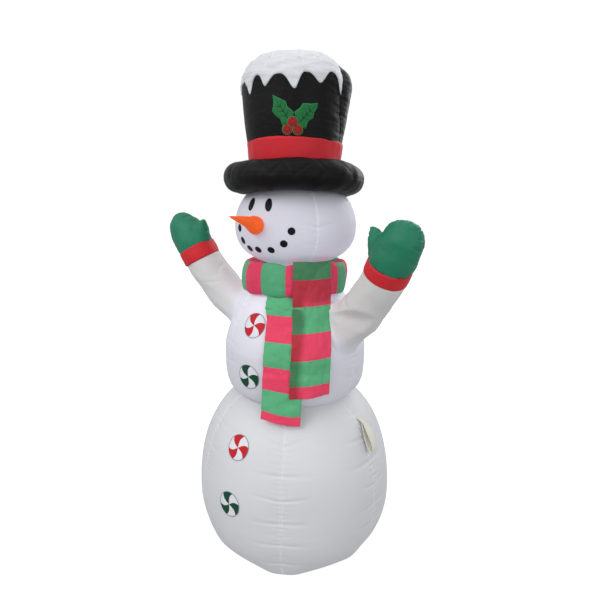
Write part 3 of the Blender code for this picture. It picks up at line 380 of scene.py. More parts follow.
def grid_normals(points, wrap=False):
    """Unit normals of a grid, outwards where rows rise and columns turn anticlockwise."""
    if wrap:
        along = np.roll(points, -1, axis=1) - np.roll(points, 1, axis=1)
    else:
        along = np.gradient(points, axis=1)
    normal = np.cross(along, np.gradient(points, axis=0))
    return normal / np.maximum(np.linalg.norm(normal, axis=-1, keepdims=True), 1e-12)


def pushed(points, amount, wrap=False):
    """A grid moved along its normals, which on a tube face away from its middle."""
    normals = grid_normals(points, wrap)
    if wrap and (normals * (points - points.mean(axis=1, keepdims=True))).sum() < 0.0:
        normals = -normals
    return points + normals * amount[..., None]


def store(made, name, values):
    """Keep a number for each vertex, for a material to read."""
    layer = made.data.attributes.new(name, "FLOAT", "POINT")
    layer.data.foreach_set("value", np.asarray(values, float).ravel())


def thicken(made, thickness, side=-1.0):
    """Give a sheet its thickness: on the inner side, or on both sides for 0."""
    modifier = made.modifiers.new("thickness", "SOLIDIFY")
    modifier.thickness = thickness
    modifier.offset = side


def apply_modifiers(made):
    """Make an object's evaluated mesh its own."""
    graph = bpy.context.evaluated_depsgraph_get()
    mesh = bpy.data.meshes.new_from_object(made.evaluated_get(graph), depsgraph=graph)
    made.modifiers.clear()
    made.data = mesh
    mesh.shade_smooth()


def edited(made, change):
    """Run a change on a bmesh of a piece's mesh, and write it back smooth-shaded."""
    shape = bmesh.new()
    shape.from_mesh(made.data)
    change(shape)
    shape.to_mesh(made.data)
    shape.free()
    made.data.shade_smooth()


def fill_ring(made, indices):
    """Close a ring of vertices with a fan round its middle."""
    def fan(shape):
        shape.verts.ensure_lookup_table()
        ring = [shape.verts[i] for i in indices]
        middle = shape.verts.new(sum((v.co for v in ring), Vector()) / len(ring))
        for a, b in zip(ring, ring[1:] + ring[:1]):
            shape.faces.new((a, b, middle))

    edited(made, fan)


def face_away(made, middle):
    """Turn a piece's faces to look away from a point inside it."""
    def turn(shape):
        bmesh.ops.recalc_face_normals(shape, faces=shape.faces)
        outwards = sum(f.normal.dot(f.calc_center_median() - Vector(middle)) * f.calc_area()
                       for f in shape.faces)
        if outwards < 0.0:
            bmesh.ops.reverse_faces(shape, faces=shape.faces)

    edited(made, turn)


def circle(sides, whole=2.0 * math.pi):
    """Angles all round a circle."""
    return np.linspace(0.0, whole, sides, endpoint=False)


def signed(angle):
    """An angle in degrees, brought to between -180 and 180."""
    return (angle + 180.0) % 360.0 - 180.0


def hump(distance, width):
    """A smooth hump, 1 in the middle and almost 0 from twice its width."""
    return np.exp(-(distance / width) ** 2)


def fading(distance, reach):
    """A pointed hump that fades slowly on both sides."""
    return np.exp(-np.abs(distance) / reach)


def smooth_step(value):
    """Cubic step from 0 to 1 of a value that is cut to that range."""
    value = np.clip(value, 0.0, 1.0)
    return value * value * (3.0 - 2.0 * value)


def ripple(points, seed, size, depth, waves=9):
    """Gentle unevenness of a surface: seeded plane waves through space."""
    draw = random.Random(seed)
    total = np.zeros(points.shape[:-1])
    for _ in range(waves):
        direction = Vector([draw.gauss(0.0, 1.0) for _ in range(3)]).normalized()
        length = size * draw.uniform(0.65, 1.5)
        total += np.sin(points @ np.array(direction) * (2.0 * math.pi / length) + draw.uniform(0.0, 6.28))
    return total * depth / math.sqrt(waves)


def gather_marks(seed, low, high, pitch, depth, reach, strong_every=4):
    """Places along a seam where the cloth is gathered: (place, depth, reach, width, droop)."""
    draw = random.Random(seed)
    marks = []
    place = low + pitch * draw.uniform(0.2, 0.8)
    count = draw.randrange(strong_every)
    while place < high:
        count += 1
        strong = count % strong_every == 0
        size = draw.uniform(1.3, 1.9) if strong else draw.uniform(0.40, 1.0)
        length = reach * (draw.uniform(1.3, 2.4) if strong else draw.uniform(0.40, 1.0))
        width, droop = pitch * draw.uniform(0.24, 0.34), draw.uniform(-0.26, 0.06)
        marks.append((place, depth * size, length, width, droop))
        place += pitch * draw.uniform(0.75, 1.25)
    return marks


def gathered(distance, place, marks):
    """How far the cloth is drawn in beside a gathered seam."""
    away = np.abs(distance)
    total = np.zeros(distance.shape)
    for middle, depth, reach, width, droop in marks:
        across = (place - middle + droop * away) / (width * (1.0 + 9.0 * away))
        total += depth * np.exp(-across ** 2 - (away / reach) ** 2)
    return total


def catmull(points, steps):
    """A smooth curve through points, with steps per stretch."""
    points = [Vector(p) for p in points]
    padded = [points[0] * 2 - points[1]] + points + [points[-1] * 2 - points[-2]]
    curve = []
    for a, b, c, d in zip(padded, padded[1:], padded[2:], padded[3:]):
        for step in range(steps):
            t = step / steps
            curve.append(0.5 * ((2 * b) + (c - a) * t + (2 * a - 5 * b + 4 * c - d) * t * t
                                + (3 * b - a - 3 * c + d) * t ** 3))
    curve.append(points[-1])
    return curve


# ---------------------------------------------------------------- the balls
def ball_radius(ball, z):
    """Radius of a ball at heights."""
    centre, radius, above, below, power_above, power_below = ball
    z = np.asarray(z, float)
    up = z > centre
    share = np.clip(np.where(up, (z - centre) / above, (centre - z) / below), 0.0, 1.0)
    power = np.where(up, power_above, power_below)
    return radius * np.maximum(1.0 - share ** power, 0.0) ** (1.0 / power)


def around(radius, azimuth, z):
    """Points from radius, azimuth in degrees and height."""
    angle = np.radians(azimuth)
    return np.stack(np.broadcast_arrays(radius * np.sin(angle), -radius * np.cos(angle), z), axis=-1)


# Seams of each ball: (azimuth, depth of the seam's groove, its gathers).
LOWER_SEAMS = [(a, 1.0, gather_marks(100 + a, 0.02, 0.385, 0.0115, 0.0020 if a == 90 else 0.0012, 0.024, 5))
               for a in range(-150, 180, 60)]
TORSO_SEAMS = [(a, 0.55, gather_marks(300 + a, 0.43, 0.70, 0.0125, 0.0009, 0.022))
               for a in range(-150, 180, 60)]
HEAD_SEAMS = [(a, 0.7, gather_marks(500 + int(a), 0.77, 0.93, 0.0105, 0.0009, 0.018))
              for a in (-57.0, 57.0, 180.0)]
# Each ball's seams and the seed of its unevenness.
CLOTHS = {LOWER: (LOWER_SEAMS, 11), TORSO: (TORSO_SEAMS, 12), HEAD: (HEAD_SEAMS, 13)}
SEAM_GROOVE = (0.0008, 0.0022)   # depth and width of the line of stitches
SEAM_SWELL = (0.0036, 0.050)     # how far the cloth beside a seam is drawn in, and over what distance
SEAM_HALF = 62.0                 # degrees on each side of a seam that it acts on
SEAM_HIGHLIGHT_WIDTH = 0.0026                # width of the painted highlight along a seam, a paler strip
BLUNTNESS = 70.0                 # of the foot's corners: higher is sharper


def ball_skin(ball, azimuth, z, lift=0.0):
    """Points on a ball's cloth: drawn in and gathered along its seams, a little uneven."""
    seams, seed = CLOTHS[ball]
    azimuth, z = np.broadcast_arrays(np.atleast_1d(np.asarray(azimuth, float)), np.asarray(z, float))
    radius = ball_radius(ball, z)
    slope = (ball_radius(ball, z + 0.002) - ball_radius(ball, z - 0.002)) / 0.004
    offset = np.zeros(z.shape) + lift
    for seam, groove, marks in seams:
        turn = signed(azimuth - seam)
        near = np.abs(turn) < SEAM_HALF
        distance = np.radians(turn[near]) * radius[near]
        drawn = groove * (SEAM_GROOVE[0] * hump(distance, SEAM_GROOVE[1])
                          + SEAM_SWELL[0] * fading(distance, SEAM_SWELL[1]))
        offset[near] -= drawn + gathered(distance, z[near], marks)
    if ball == LOWER:
        share = np.maximum(0.0, 1.0 - z / HEX_FADE) ** 2
        part = (azimuth + 30.0) % 60.0 - 30.0
        flat = math.cos(math.radians(30.0)) / np.cos(np.radians(part))
        cut = CORNER_CUT + CUT_CHANGE * np.cos(np.radians(3.0 * (azimuth - 30.0)))
        cut = cut / np.cos(np.radians(30.0 - np.abs(part)))
        blunt = (flat ** -BLUNTNESS + cut ** -BLUNTNESS) ** (-1.0 / BLUNTNESS)
        radius = radius * (1.0 - share + share * FOOT_SPREAD * blunt)
        tuck = np.clip((FOOT_ROUND - z) / FOOT_ROUND, 0.0, 1.0)
        offset = offset * smooth_step(z / 0.05) - FOOT_ROUND * (1.0 - np.sqrt(1.0 - tuck ** 2))
        slope = slope * smooth_step(z / 0.02)
    base = around(radius, azimuth, z)
    offset = offset + ripple(base, seed, 0.16, 0.0011)
    out = around(1.0, azimuth, -slope)
    out = out / np.linalg.norm(out, axis=-1, keepdims=True)
    return base + out * offset[..., None]


def meridian(ball, low, high, count):
    """Heights that divide a ball's meridian evenly."""
    fine = np.linspace(low, high, 600)
    steps = np.hypot(np.diff(ball_radius(ball, fine)), np.diff(fine))
    length = np.concatenate([[0.0], np.cumsum(steps)])
    return np.interp(np.linspace(0.0, length[-1], count), length, fine)


def panel(name, ball, first, last, heights, columns, material):
    """One sewn panel of a ball, with its seam allowances folded inwards."""
    u = np.linspace(-1.0, 1.0, columns)
    spread = 0.45 * u + 0.55 * np.sin(u * math.pi / 2.0)
    azimuth = (first + last) / 2.0 + (last - first) / 2.0 * spread
    points = ball_skin(ball, azimuth[None, :], heights[:, None])
    made = grid_object(name, folded_in(points, 0.965), material)
    place = np.concatenate([azimuth[:1], azimuth, azimuth[-1:]])
    # Painted highlight: how near each point lies to a seam, for the material to paint paler.
    painted_light_mask = 0.0
    for seam, _, _ in CLOTHS[ball][0]:
        distance = np.radians(signed(place - seam)) * ball_radius(ball, heights)[:, None]
        painted_light_mask = np.maximum(painted_light_mask, hump(distance, SEAM_HIGHLIGHT_WIDTH))
    store(made, "seam", painted_light_mask)
    return made


def folded_in(points, share):
    """A panel's grid with the cloth past both its seams folded inwards."""
    inward = np.array([share, share, 1.0])
    return np.concatenate([points[:, :1] * inward, points, points[:, -1:] * inward], axis=1)


def lower_ball():
    """The lower ball's six gores, up to the waist."""
    heights = meridian(LOWER, 0.0, WAIST_Z + 0.003, 236)
    for i in range(6):
        made = panel(f"lower_cloth_{i + 1}", LOWER, 60.0 * i - 30.0, 60.0 * i + 30.0, heights, 74, "lower")
        if i == 3:
            cut_hole(made, BLOWER_HOLE)
            cut_hole(made, INLET_HOLE)
        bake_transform(made)
        stands_for(made, f"lower_gore_{i + 1}")


def floor_panel():
    """The flat panel under the ball, inside the foot's rounded edge."""
    sides = 288
    azimuth = circle(sides, 360.0)
    edge = ball_skin(LOWER, azimuth, np.full(sides, 0.0004)) * (1.0, 1.0, 0.0)
    shares = np.linspace(1.0, 0.02, 40)[:, None, None]
    points = edge[None] * shares * 0.999
    reach = np.hypot(points[..., 0], points[..., 1])
    points[..., 2] = 0.0002 + 0.0009 * smooth_step((0.990 - shares[..., 0]) / 0.05) * (
        0.5 + 0.5 * np.sin(reach * 160.0 + 5.0 * np.sin(np.radians(azimuth) * 3.0)))
    made = grid_object("floor_cloth", points, "lower", wrap=True)
    fill_ring(made, range(-sides, 0))
    face_away(made, (0.0, 0.0, 1.0))
    stands_for(made, "base_panel", "base")


def torso_ball():
    """The middle ball's six gores, from the waist to the neck."""
    heights = meridian(TORSO, WAIST_Z - 0.004, NECK_Z + 0.002, 168)
    for i in range(6):
        made = panel(f"torso_cloth_{i + 1}", TORSO, 60.0 * i - 30.0, 60.0 * i + 30.0, heights, 60, "torso")
        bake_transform(made)
        stands_for(made, f"torso_gore_{i + 1}")


def head_ball():
    """The head's face panel and two rear panels."""
    heights = meridian(HEAD, NECK_Z - 0.001, 0.945, 120)
    panels = (("face_cloth", "face_panel", -57.0, 57.0), ("head_cloth_left", "head_panel_left", 57.0, 180.0),
              ("head_cloth_right", "head_panel_right", 180.0, 303.0))
    for name, node, first, last in panels:
        made = panel(name, HEAD, first, last, heights, 118, "head")
        stands_for(made, node, "head")


# Holes in the lower ball's rear gore: (azimuth, height, radius).
BLOWER_HOLE = (180.0, 0.120, 0.0558)
INLET_HOLE = (165.0, 0.060, 0.0066)


def cut_hole(made, hole):
    """Remove the cloth inside a circle of the rear gore and draw its rim out to the circle."""
    azimuth, z, radius = hole
    centre = Vector(ball_skin(LOWER, azimuth, z)[0])
    axis = Vector(around(1.0, azimuth, 0.0))

    def across(vert):
        gap = vert.co - centre
        return gap - axis * gap.dot(axis)

    def near(vert, share, reach):
        return across(vert).length < radius * share and (vert.co - centre).length < radius * reach

    def cut(shape):
        bmesh.ops.delete(shape, geom=[v for v in shape.verts if near(v, 1.0, 1.6)], context="VERTS")
        for vert in shape.verts:
            if vert.is_boundary and near(vert, 1.35, 1.8):
                away = across(vert)
                vert.co += away.normalized() * (radius - away.length)

    edited(made, cut)


# ---------------------------------------------------------------- prints and patches
def ball_patch(ball, azimuth, z, lift):
    """A placing function for patches on a ball: (across, up) in metres to a point."""
    slope = float(ball_radius(ball, z + 0.002) - ball_radius(ball, z - 0.002)) / 0.004
    rise = 1.0 / math.hypot(1.0, slope)

    def place(u, v, extra=0.0):
        height = z + np.asarray(v) * rise
        turn = azimuth + np.degrees(np.asarray(u) / ball_radius(ball, height))
        return ball_skin(ball, turn, height, lift + extra)

    return place


def disc(place, half_width, half_height, rings=10, sides=64, dome=0.0, tilt=0.0):
    """Rings of points of an oval patch with its edge turned down to the cloth, tilted to the left."""
    angle = circle(sides)
    points = []
    for i, share in enumerate(np.append(np.linspace(0.0, 1.0, rings), 1.0)):
        height = dome * (1.0 - share ** 2) - (0.0006 if i == rings else 0.0)
        across, up = half_width * share * np.cos(angle), half_height * share * np.sin(angle)
        points.append(place(across * math.cos(tilt) - up * math.sin(tilt),
                            across * math.sin(tilt) + up * math.cos(tilt), height))
    return points


def joined(name, parts, *materials):
    """One object from (points, faces, material index) parts."""
    points, faces, indices = [], [], []
    for part_points, part_faces, index in parts:
        base = len(points)
        points += [tuple(p) for p in part_points]
        faces += [tuple(i + base for i in face) for face in part_faces]
        indices += [index] * len(part_faces)
    made = mesh_object(name, points, faces, *materials)
    made.data.polygons.foreach_set("material_index", indices)
    edited(made, lambda shape: bmesh.ops.remove_doubles(shape, verts=shape.verts, dist=1e-6))
    return made


def patch_part(rows, middle, index, wrap=True):
    """A part for joined() from a grid of points, its faces turned to look away from a point."""
    rows = np.array(rows)
    points, faces = rows.reshape(-1, 3), grid_faces(*rows.shape[:2], wrap)
    a, b, c = [Vector(points[i]) for i in faces[len(faces) // 2][:3]]
    if (b - a).cross(c - a).dot(a - Vector(middle)) < 0.0:
        faces = [face[::-1] for face in faces]
    return points, faces, index


def peppermint(name, ball, z, colour, node, body):
    """A printed peppermint: white disc, three coloured swirls and a thin outline."""
    place = ball_patch(ball, 0.0, z, 0.0009)

    def arc(angle, share, rise):
        reach = BUTTON_RADIUS * share
        return place(reach * np.cos(angle), reach * np.sin(angle), rise)

    middle = (0.0, 0.0, z)
    parts = [patch_part(disc(place, BUTTON_RADIUS, BUTTON_RADIUS), middle, 0)]
    for i in range(3):
        rows = []
        for share in np.linspace(0.02, 0.985, 14):
            twist = math.radians(22.0) * (1.0 - share) ** 1.2 + math.radians(9.0) * math.sin(share * math.pi)
            start = math.radians(120.0 * i - 47.0) + twist
            rows.append(arc(np.linspace(start, start + math.radians(61.0), 12), share, 0.00022))
        parts.append(patch_part(rows, middle, 1, wrap=False))
    outline = ((0.970, 0.0002), (0.975, 0.0004), (1.005, 0.0004), (1.010, -0.0006))
    parts.append(patch_part([arc(circle(72), share, rise) for share, rise in outline], middle, 2))
    made = joined(name, parts, "mint_white", colour, "mint_line")
    stands_for(made, node, body)


def peppermints():
    """A red and a green peppermint on each of the two lower balls."""
    for level, body, ball, places in (("upper", "torso", TORSO, {"red": 0.613, "green": 0.491}),
                                      ("lower", "base", LOWER, {"red": 0.323, "green": 0.190})):
        for tone, z in places.items():
            peppermint(f"mint_{level}_{tone}", ball, z, f"mint_{tone}", f"button_{tone}_{level}", body)


def face_prints():
    """Two oval eyes and seven coal dots of the smile, sewn flat on the face."""
    eyes = (("eye_right", -9.1), ("eye_left", 11.2))
    dots = ((-22.1, 0.840), (-19.3, 0.811), (-12.7, 0.793), (-1.0, 0.792), (13.8, 0.793), (27.0, 0.809),
            (33.9, 0.838))
    for node, azimuth in eyes:
        print_on_face(node, azimuth, 0.895, 0.0085, 0.0165, EYE_TILT)
    for i, (azimuth, z) in enumerate(dots):
        print_on_face(f"mouth_dot_{i + 1}", azimuth, z, 0.0088, 0.0088, 0.0)


def print_on_face(node, azimuth, z, half_width, half_height, tilt):
    """One black patch with its edge turned down."""
    rows = disc(ball_patch(HEAD, azimuth, z, 0.0008), half_width, half_height, 7, 48, 0.0003, tilt)
    made = joined(f"{node}_patch", [patch_part(rows, (0.0, 0.0, z), 0)], "coal")
    stands_for(made, node, "head")


def carrot():
    """The stuffed carrot: swollen foot, slightly ringed skin and a blunt tip."""
    along = NOSE_TIP - NOSE_BASE
    side = along.cross(WORLD_UP).normalized()
    top = side.cross(along).normalized()
    angle = circle(56)
    ring = np.array(side) * np.cos(angle)[:, None] + np.array(top) * np.sin(angle)[:, None]
    rows = []
    for share in np.linspace(0.0, 1.0, 60):
        swollen = 0.30 * math.sin(math.pi * min(1.0, share * 3.0 + 0.12)) * (1.0 - share)
        shape = (1.0 - share) ** 0.88 * (0.86 + swollen)
        radius = NOSE_RADIUS * shape + 0.0012 * math.sqrt(max(0.0, 1.0 - share))
        centre = np.array(NOSE_BASE + along * (share - 0.03)) + np.array(top) * 0.0020 * math.sin(share * 3.1)
        rows.append(centre + ring * radius)
    points = pushed(np.array(rows), ripple(np.array(rows), 71, 0.030, 0.00045), wrap=True)
    made = grid_object("carrot_cloth", points, "orange", wrap=True)
    fill_ring(made, range(-len(angle), 0))
    face_away(made, NOSE_BASE + along * 0.4)
    stands_for(made, "carrot_nose", "head")


# ---------------------------------------------------------------- hat
HAT_FRAME = (Matrix.Translation(HAT_ORIGIN)
             @ Matrix.Rotation(math.radians(HAT_TILT[0]), 4, "X")
             @ Matrix.Rotation(math.radians(HAT_TILT[1]), 4, "Y")
             @ Matrix.Rotation(math.radians(HAT_TURN), 4, "Z"))


def on_head(made, node):
    """Take a piece from the hat's own frame to the head."""
    made.data.transform(HAT_FRAME)
    stands_for(made, node, "head")


def crown_radius(z):
    """Radius of the crown's side, and of its rounded top edge, at heights."""
    z = np.asarray(z, float)
    share = (z - CROWN_FOOT[1]) / (CROWN_SHOULDER[1] - CROWN_FOOT[1])
    bulge = 0.0022 * np.sin(np.clip(share, 0, 1) * math.pi)
    side = CROWN_FOOT[0] + (CROWN_SHOULDER[0] - CROWN_FOOT[0]) * share + bulge
    rise = np.clip((z - CROWN_SHOULDER[1]) / CROWN_ROUND[1], 0.0, 1.0)
    turn = CROWN_SHOULDER[0] - CROWN_ROUND[0] * (1.0 - np.sqrt(1.0 - rise ** 2))
    return np.where(rise > 0.0, turn, side)


CROWN_MARKS = [(seam, gather_marks(700 + int(seam), 0.045, 0.200, 0.011, 0.0007, 0.022))
               for seam in CROWN_SEAMS]


def crown_edge(first, last, count):
    """(radius, height) pairs round the crown's top edge, between two angles of its rounding."""
    centre = CROWN_SHOULDER[0] - CROWN_ROUND[0]
    return [(centre + CROWN_ROUND[0] * math.cos(a), CROWN_SHOULDER[1] + CROWN_ROUND[1] * math.sin(a))
            for a in np.radians(np.linspace(first, last, count))]


def crown_profile(last):
    """(radius, height) up the crown's side and round its top edge, up to an angle of its rounding."""
    heights = np.linspace(CROWN_FOOT[1] + 0.010, CROWN_SHOULDER[1], 84)
    return [(float(crown_radius(z)), z) for z in heights] + crown_edge(0.0, last, 27)[1:]


def crown_ripple(points):
    """Unevenness of the crown, which the snow and the prints on it follow."""
    return ripple(points, 21, 0.11, 0.0010)


def seam_lean(azimuth, z):
    """How far the cloth beside the crown's left seam turns back towards the band."""
    near = hump(signed(azimuth - CROWN_SEAMS[1]), 42.0)
    return CROWN_LEAN * near * smooth_step((0.140 - z) / 0.125)


def crown_skin(azimuth, profile, lift=0.0):
    """Points on the crown's cloth for columns of azimuth and rows of the profile."""
    radius, z = np.array(profile).T[:, :, None]
    turned = azimuth[None, :]
    points = around(radius, turned + seam_lean(turned, z), z)
    offset = crown_ripple(points) + lift
    near_seam = hump(signed(turned - CROWN_SEAMS[1]), 34.0)
    offset += ripple(points * (0.28, 0.28, 1.5), 23, 0.015, 0.00040) * (0.25 + near_seam)
    for seam, marks in CROWN_MARKS:
        distance = np.radians(signed(turned - seam)) * radius
        offset -= 0.0010 * hump(distance, 0.002) + CROWN_SWELL[0] * fading(distance, CROWN_SWELL[1])
        offset -= gathered(distance, z, marks)
    # The rear panel is cut fuller than the front one and stands out past it at the top.
    past, before = (turned - CROWN_SEAMS[1]) % 360.0, (CROWN_SEAMS[0] - turned) % 360.0
    rear = np.where(past < 180.0, smooth_step(past / 14.0) * smooth_step(before / 14.0), 0.0)
    rear_top = CROWN_SHOULDER[1] + CROWN_ROUND[1] * math.sin(math.radians(REAR_EDGE))
    full = REAR_FULL * smooth_step((z - 0.03) / 0.13) * smooth_step((rear_top - z) / 0.020)
    offset += rear * (full - 0.0012 * hump(z - rear_top, 0.0022))
    return points + grid_normals(points) * offset[..., None]


def crown():
    """Front and rear crown panels and the top."""
    for label, first, last, edge in (("front", *CROWN_SEAMS, FRONT_EDGE),
                                     ("rear", CROWN_SEAMS[1], 360.0 + CROWN_SEAMS[0], REAR_EDGE + 2.0)):
        points = crown_skin(np.linspace(first, last, 180), crown_profile(edge))
        on_head(grid_object(f"crown_{label}_cloth", folded_in(points, 0.97), "black"), f"crown_{label}")
    sides = 240
    rim = crown_edge(REAR_EDGE - 0.5, 90.0, 24)
    dome = [(rim[-1][0] * (1.0 - s), rim[-1][1] + CROWN_DOME * math.sin(s * math.pi / 2.0))
            for s in np.linspace(0.0, 0.99, 40)[1:]]
    points = crown_skin(circle(sides, 360.0), rim + dome, 0.0005)
    inside = smooth_step((0.100 - np.hypot(points[..., 0], points[..., 1])) / 0.02)
    points[..., 2] += ripple(points, 24, 0.034, 0.0010) * inside
    made = grid_object("crown_top_cloth", points, "snow", wrap=True)
    fill_ring(made, range(-sides, 0))
    on_head(made, "crown_top")


# Lower edge of the snow: (hat azimuth, height) of its tips and of the dips between them.
DRIPS = ((-123.7, 0.146), (-118.0, 0.172), (-106.0, 0.140), (-94.0, 0.176), (-82.5, 0.151), (-71.5, 0.168),
         (-62.8, 0.170), (-53.3, 0.140), (-39.2, 0.174), (-31.0, 0.149), (-15.6, 0.172), (0.2, 0.141),
         (10.6, 0.176), (25.8, 0.156), (39.7, 0.184), (56.2, 0.143))


def drip_edge(azimuth):
    """Height of the snow's lower edge: round valleys and narrower, blunt tips."""
    places = np.array([a for a, _ in DRIPS])
    heights = np.array([z for _, z in DRIPS])
    index = np.clip(np.searchsorted(places, azimuth) - 1, 0, len(DRIPS) - 2)
    share = (azimuth - places[index]) / (places[index + 1] - places[index])
    low_first = heights[index] < heights[index + 1]
    from_top = np.where(low_first, 1.0 - share, share)
    fall = smooth_step(from_top ** 1.35)
    high, low = np.maximum(heights[index], heights[index + 1]), np.minimum(heights[index], heights[index + 1])
    return high + (low - high) * fall


def snow():
    """White snow over the crown's front: a layer with rolled, dripping edges."""
    shoulder, rounding = CROWN_SHOULDER[1], CROWN_ROUND[1]
    azimuth = np.linspace(CROWN_SEAMS[0] + 0.4, CROWN_SEAMS[1] - 0.4, 460)
    low = drip_edge(azimuth)
    shares = np.concatenate([[0.0, 0.0, 0.008, 0.02, 0.04], np.linspace(0.07, 1.0, 56)])
    angle = np.arcsin(np.clip((low - shoulder) / rounding, 0.0, 1.0))
    straight = np.maximum(shoulder - low, 0.0)
    arc = rounding * (math.radians(SNOW_EDGE) - angle)
    travel = shares[:, None] * (straight + arc)
    bend = angle + np.maximum(travel - straight, 0.0) / rounding
    z = np.where(travel < straight, low + travel, shoulder + rounding * np.sin(bend))
    z = np.minimum(z, crown_edge(SNOW_EDGE, SNOW_EDGE, 1)[0][1])
    radius = crown_radius(z)
    turned = azimuth[None, :]
    points = around(radius, turned, z)
    lift = SNOW_LIFT * np.minimum(1.0, np.sqrt(shares / 0.04))
    lift[0] = -0.0006
    lift[-5:] = (0.0022, 0.0018, 0.0014, 0.0010, 0.0006)
    offset = crown_ripple(points) + lift[:, None]
    for seam, marks in CROWN_MARKS:
        distance = np.radians(signed(turned - seam)) * radius
        offset = offset - CROWN_SWELL[0] * fading(distance, CROWN_SWELL[1])
        offset = offset - gathered(distance, z, marks) * 0.8
    offset = offset + ripple(points, 22, 0.026, 0.00080)
    offset = offset + ripple(points * (0.5, 0.5, 1.6), 25, 0.018, 0.0005)
    # Two folds run round the top's rounding, with gathers along them.
    rise = (z - shoulder - 0.048) + 0.0035 * np.sin(np.radians(turned) * 7.0)
    rise = rise + ripple(points, 26, 0.06, 0.0016)
    offset = offset - 0.0011 * hump(rise, 0.0024) - 0.0006 * hump(rise + 0.011, 0.0028)
    marks = gather_marks(27, 0.0, 0.36, 0.012, 0.0011, 0.013, 3)
    offset = offset - gathered(rise, np.radians(turned + 130.0) * 0.11, marks)
    made = grid_object("snow_cloth", points + grid_normals(points) * offset[..., None], "snow")
    on_head(made, "snow_drips")


def band():
    """The red band, a flat strip with turned edges."""
    azimuth = circle(300, 360.0)
    shares = np.concatenate([[0.0, 0.0], np.linspace(0.03, 0.97, 18), [1.0, 1.0]])
    lifts = np.array([-0.0010, 0.0012] + [BAND_LIFT] * 18 + [0.0012, -0.0010])
    z = (BAND_Z[0] - 0.002 + (BAND_Z[1] - BAND_Z[0] + 0.004) * shares)[:, None]
    points = around(crown_radius(z) + lifts[:, None], azimuth[None, :], z)
    wrinkle = ripple(points * (1.0, 1.0, 0.35), 31, 0.030, 0.0006) + ripple(points, 32, 0.12, 0.0010)
    made = grid_object("band_cloth", pushed(points, wrinkle, wrap=True), "red", wrap=True)
    on_head(made, "hat_band")


# Creases on the brim's upper front: (hat azimuth, slant, depth).
BRIM_CREASES = ((-19.0, 0.9, 0.0036), (-12.0, -0.7, 0.0030), (-4.0, 0.5, 0.0022), (9.0, -1.1, 0.0024),
                (24.0, 0.6, 0.0018), (-38.0, -0.4, 0.0011), (47.0, 0.8, 0.0011), (118.0, 0.6, 0.0018),
                (171.0, -0.8, 0.0017), (-120.0, 0.9, 0.0019))


def brim():
    """The puffed brim: an air-filled ring with soft dents."""
    azimuth = circle(420, 360.0)[None, :]
    angle = np.radians(np.linspace(-128.0, 152.0, 80))[:, None]
    radius = BRIM_CENTRE[0] + BRIM_TUBE * np.cos(angle)
    points = around(radius, azimuth, BRIM_CENTRE[1] + BRIM_TUBE * 0.96 * np.sin(angle))
    offset = ripple(points, 41, 0.13, 0.0016) + ripple(points, 42, 0.045, 0.0008)
    seam = np.sin(angle)
    for place, depth, _, _, droop in gather_marks(43, 0.0, 360.0, 9.0, 1.0, 1.0):
        across = (signed(azimuth - place) + droop * 30.0 * seam) / (2.2 + 2.0 * np.abs(seam))
        offset -= 0.0010 * depth * np.exp(-across ** 2) * hump(seam - 0.15, 0.55)
    offset -= 0.0006 * hump(angle, 0.06)
    for turn, slant, depth in BRIM_CREASES:
        across = signed(azimuth - turn) + slant * np.degrees(angle - 0.4) * 0.25
        offset -= depth * np.exp(-(across / 1.7) ** 2 - ((angle - 0.45) / 0.50) ** 2)
    made = grid_object("brim_cloth", pushed(points, offset, wrap=True), "black", wrap=True)
    on_head(made, "hat_brim")


def crown_patch(lift):
    """Places (across, height) in metres on the crown's front, in the hat's frame."""
    def place(u, z, extra=0.0):
        u, z = np.broadcast_arrays(np.asarray(u, float), np.asarray(z, float))
        radius = crown_radius(z)
        points = around(radius, np.degrees(u / radius), z)
        out = around(1.0, np.degrees(u / radius), 0.0)
        return points + out * (crown_ripple(points) + lift + extra)[..., None]

    return place


# Outlines of the leaves in millimetres: across the crown's front and up the hat.
LEFT_LEAF = ((-48.6, 129.1), (-31.5, 121.0), (-18.5, 114.5), (-15.0, 104.0), (-0.5, 93.0), (-4.0, 78.0),
             (-12.5, 66.0), (-26.0, 67.0), (-30.5, 79.5), (-38.5, 84.0), (-49.0, 95.5), (-46.5, 112.0))
RIGHT_LEAF = ((52.8, 114.7), (51.5, 104.0), (45.0, 95.0), (42.5, 83.5), (31.0, 75.5), (26.5, 60.0),
              (15.0, 62.5), (6.0, 76.0), (0.5, 93.0), (13.5, 102.5), (18.5, 111.5), (35.0, 111.5))
# Each leaf's outline, root and tip.
LEAVES = ((LEFT_LEAF, (-9.0, 74.0), (-44.0, 123.0)), (RIGHT_LEAF, (12.0, 72.0), (48.0, 110.5)))
# A berry's layers: (radius, material, lift).
BERRY = ((0.0118, 3, 0.0), (0.0106, 1, 0.0003), (0.0098, 0, 0.0006), (0.0052, 1, 0.0008), (0.0044, 0, 0.0010))
BERRIES = ((-14.4, 58.0), (8.6, 57.0), (-3.0, 73.0))


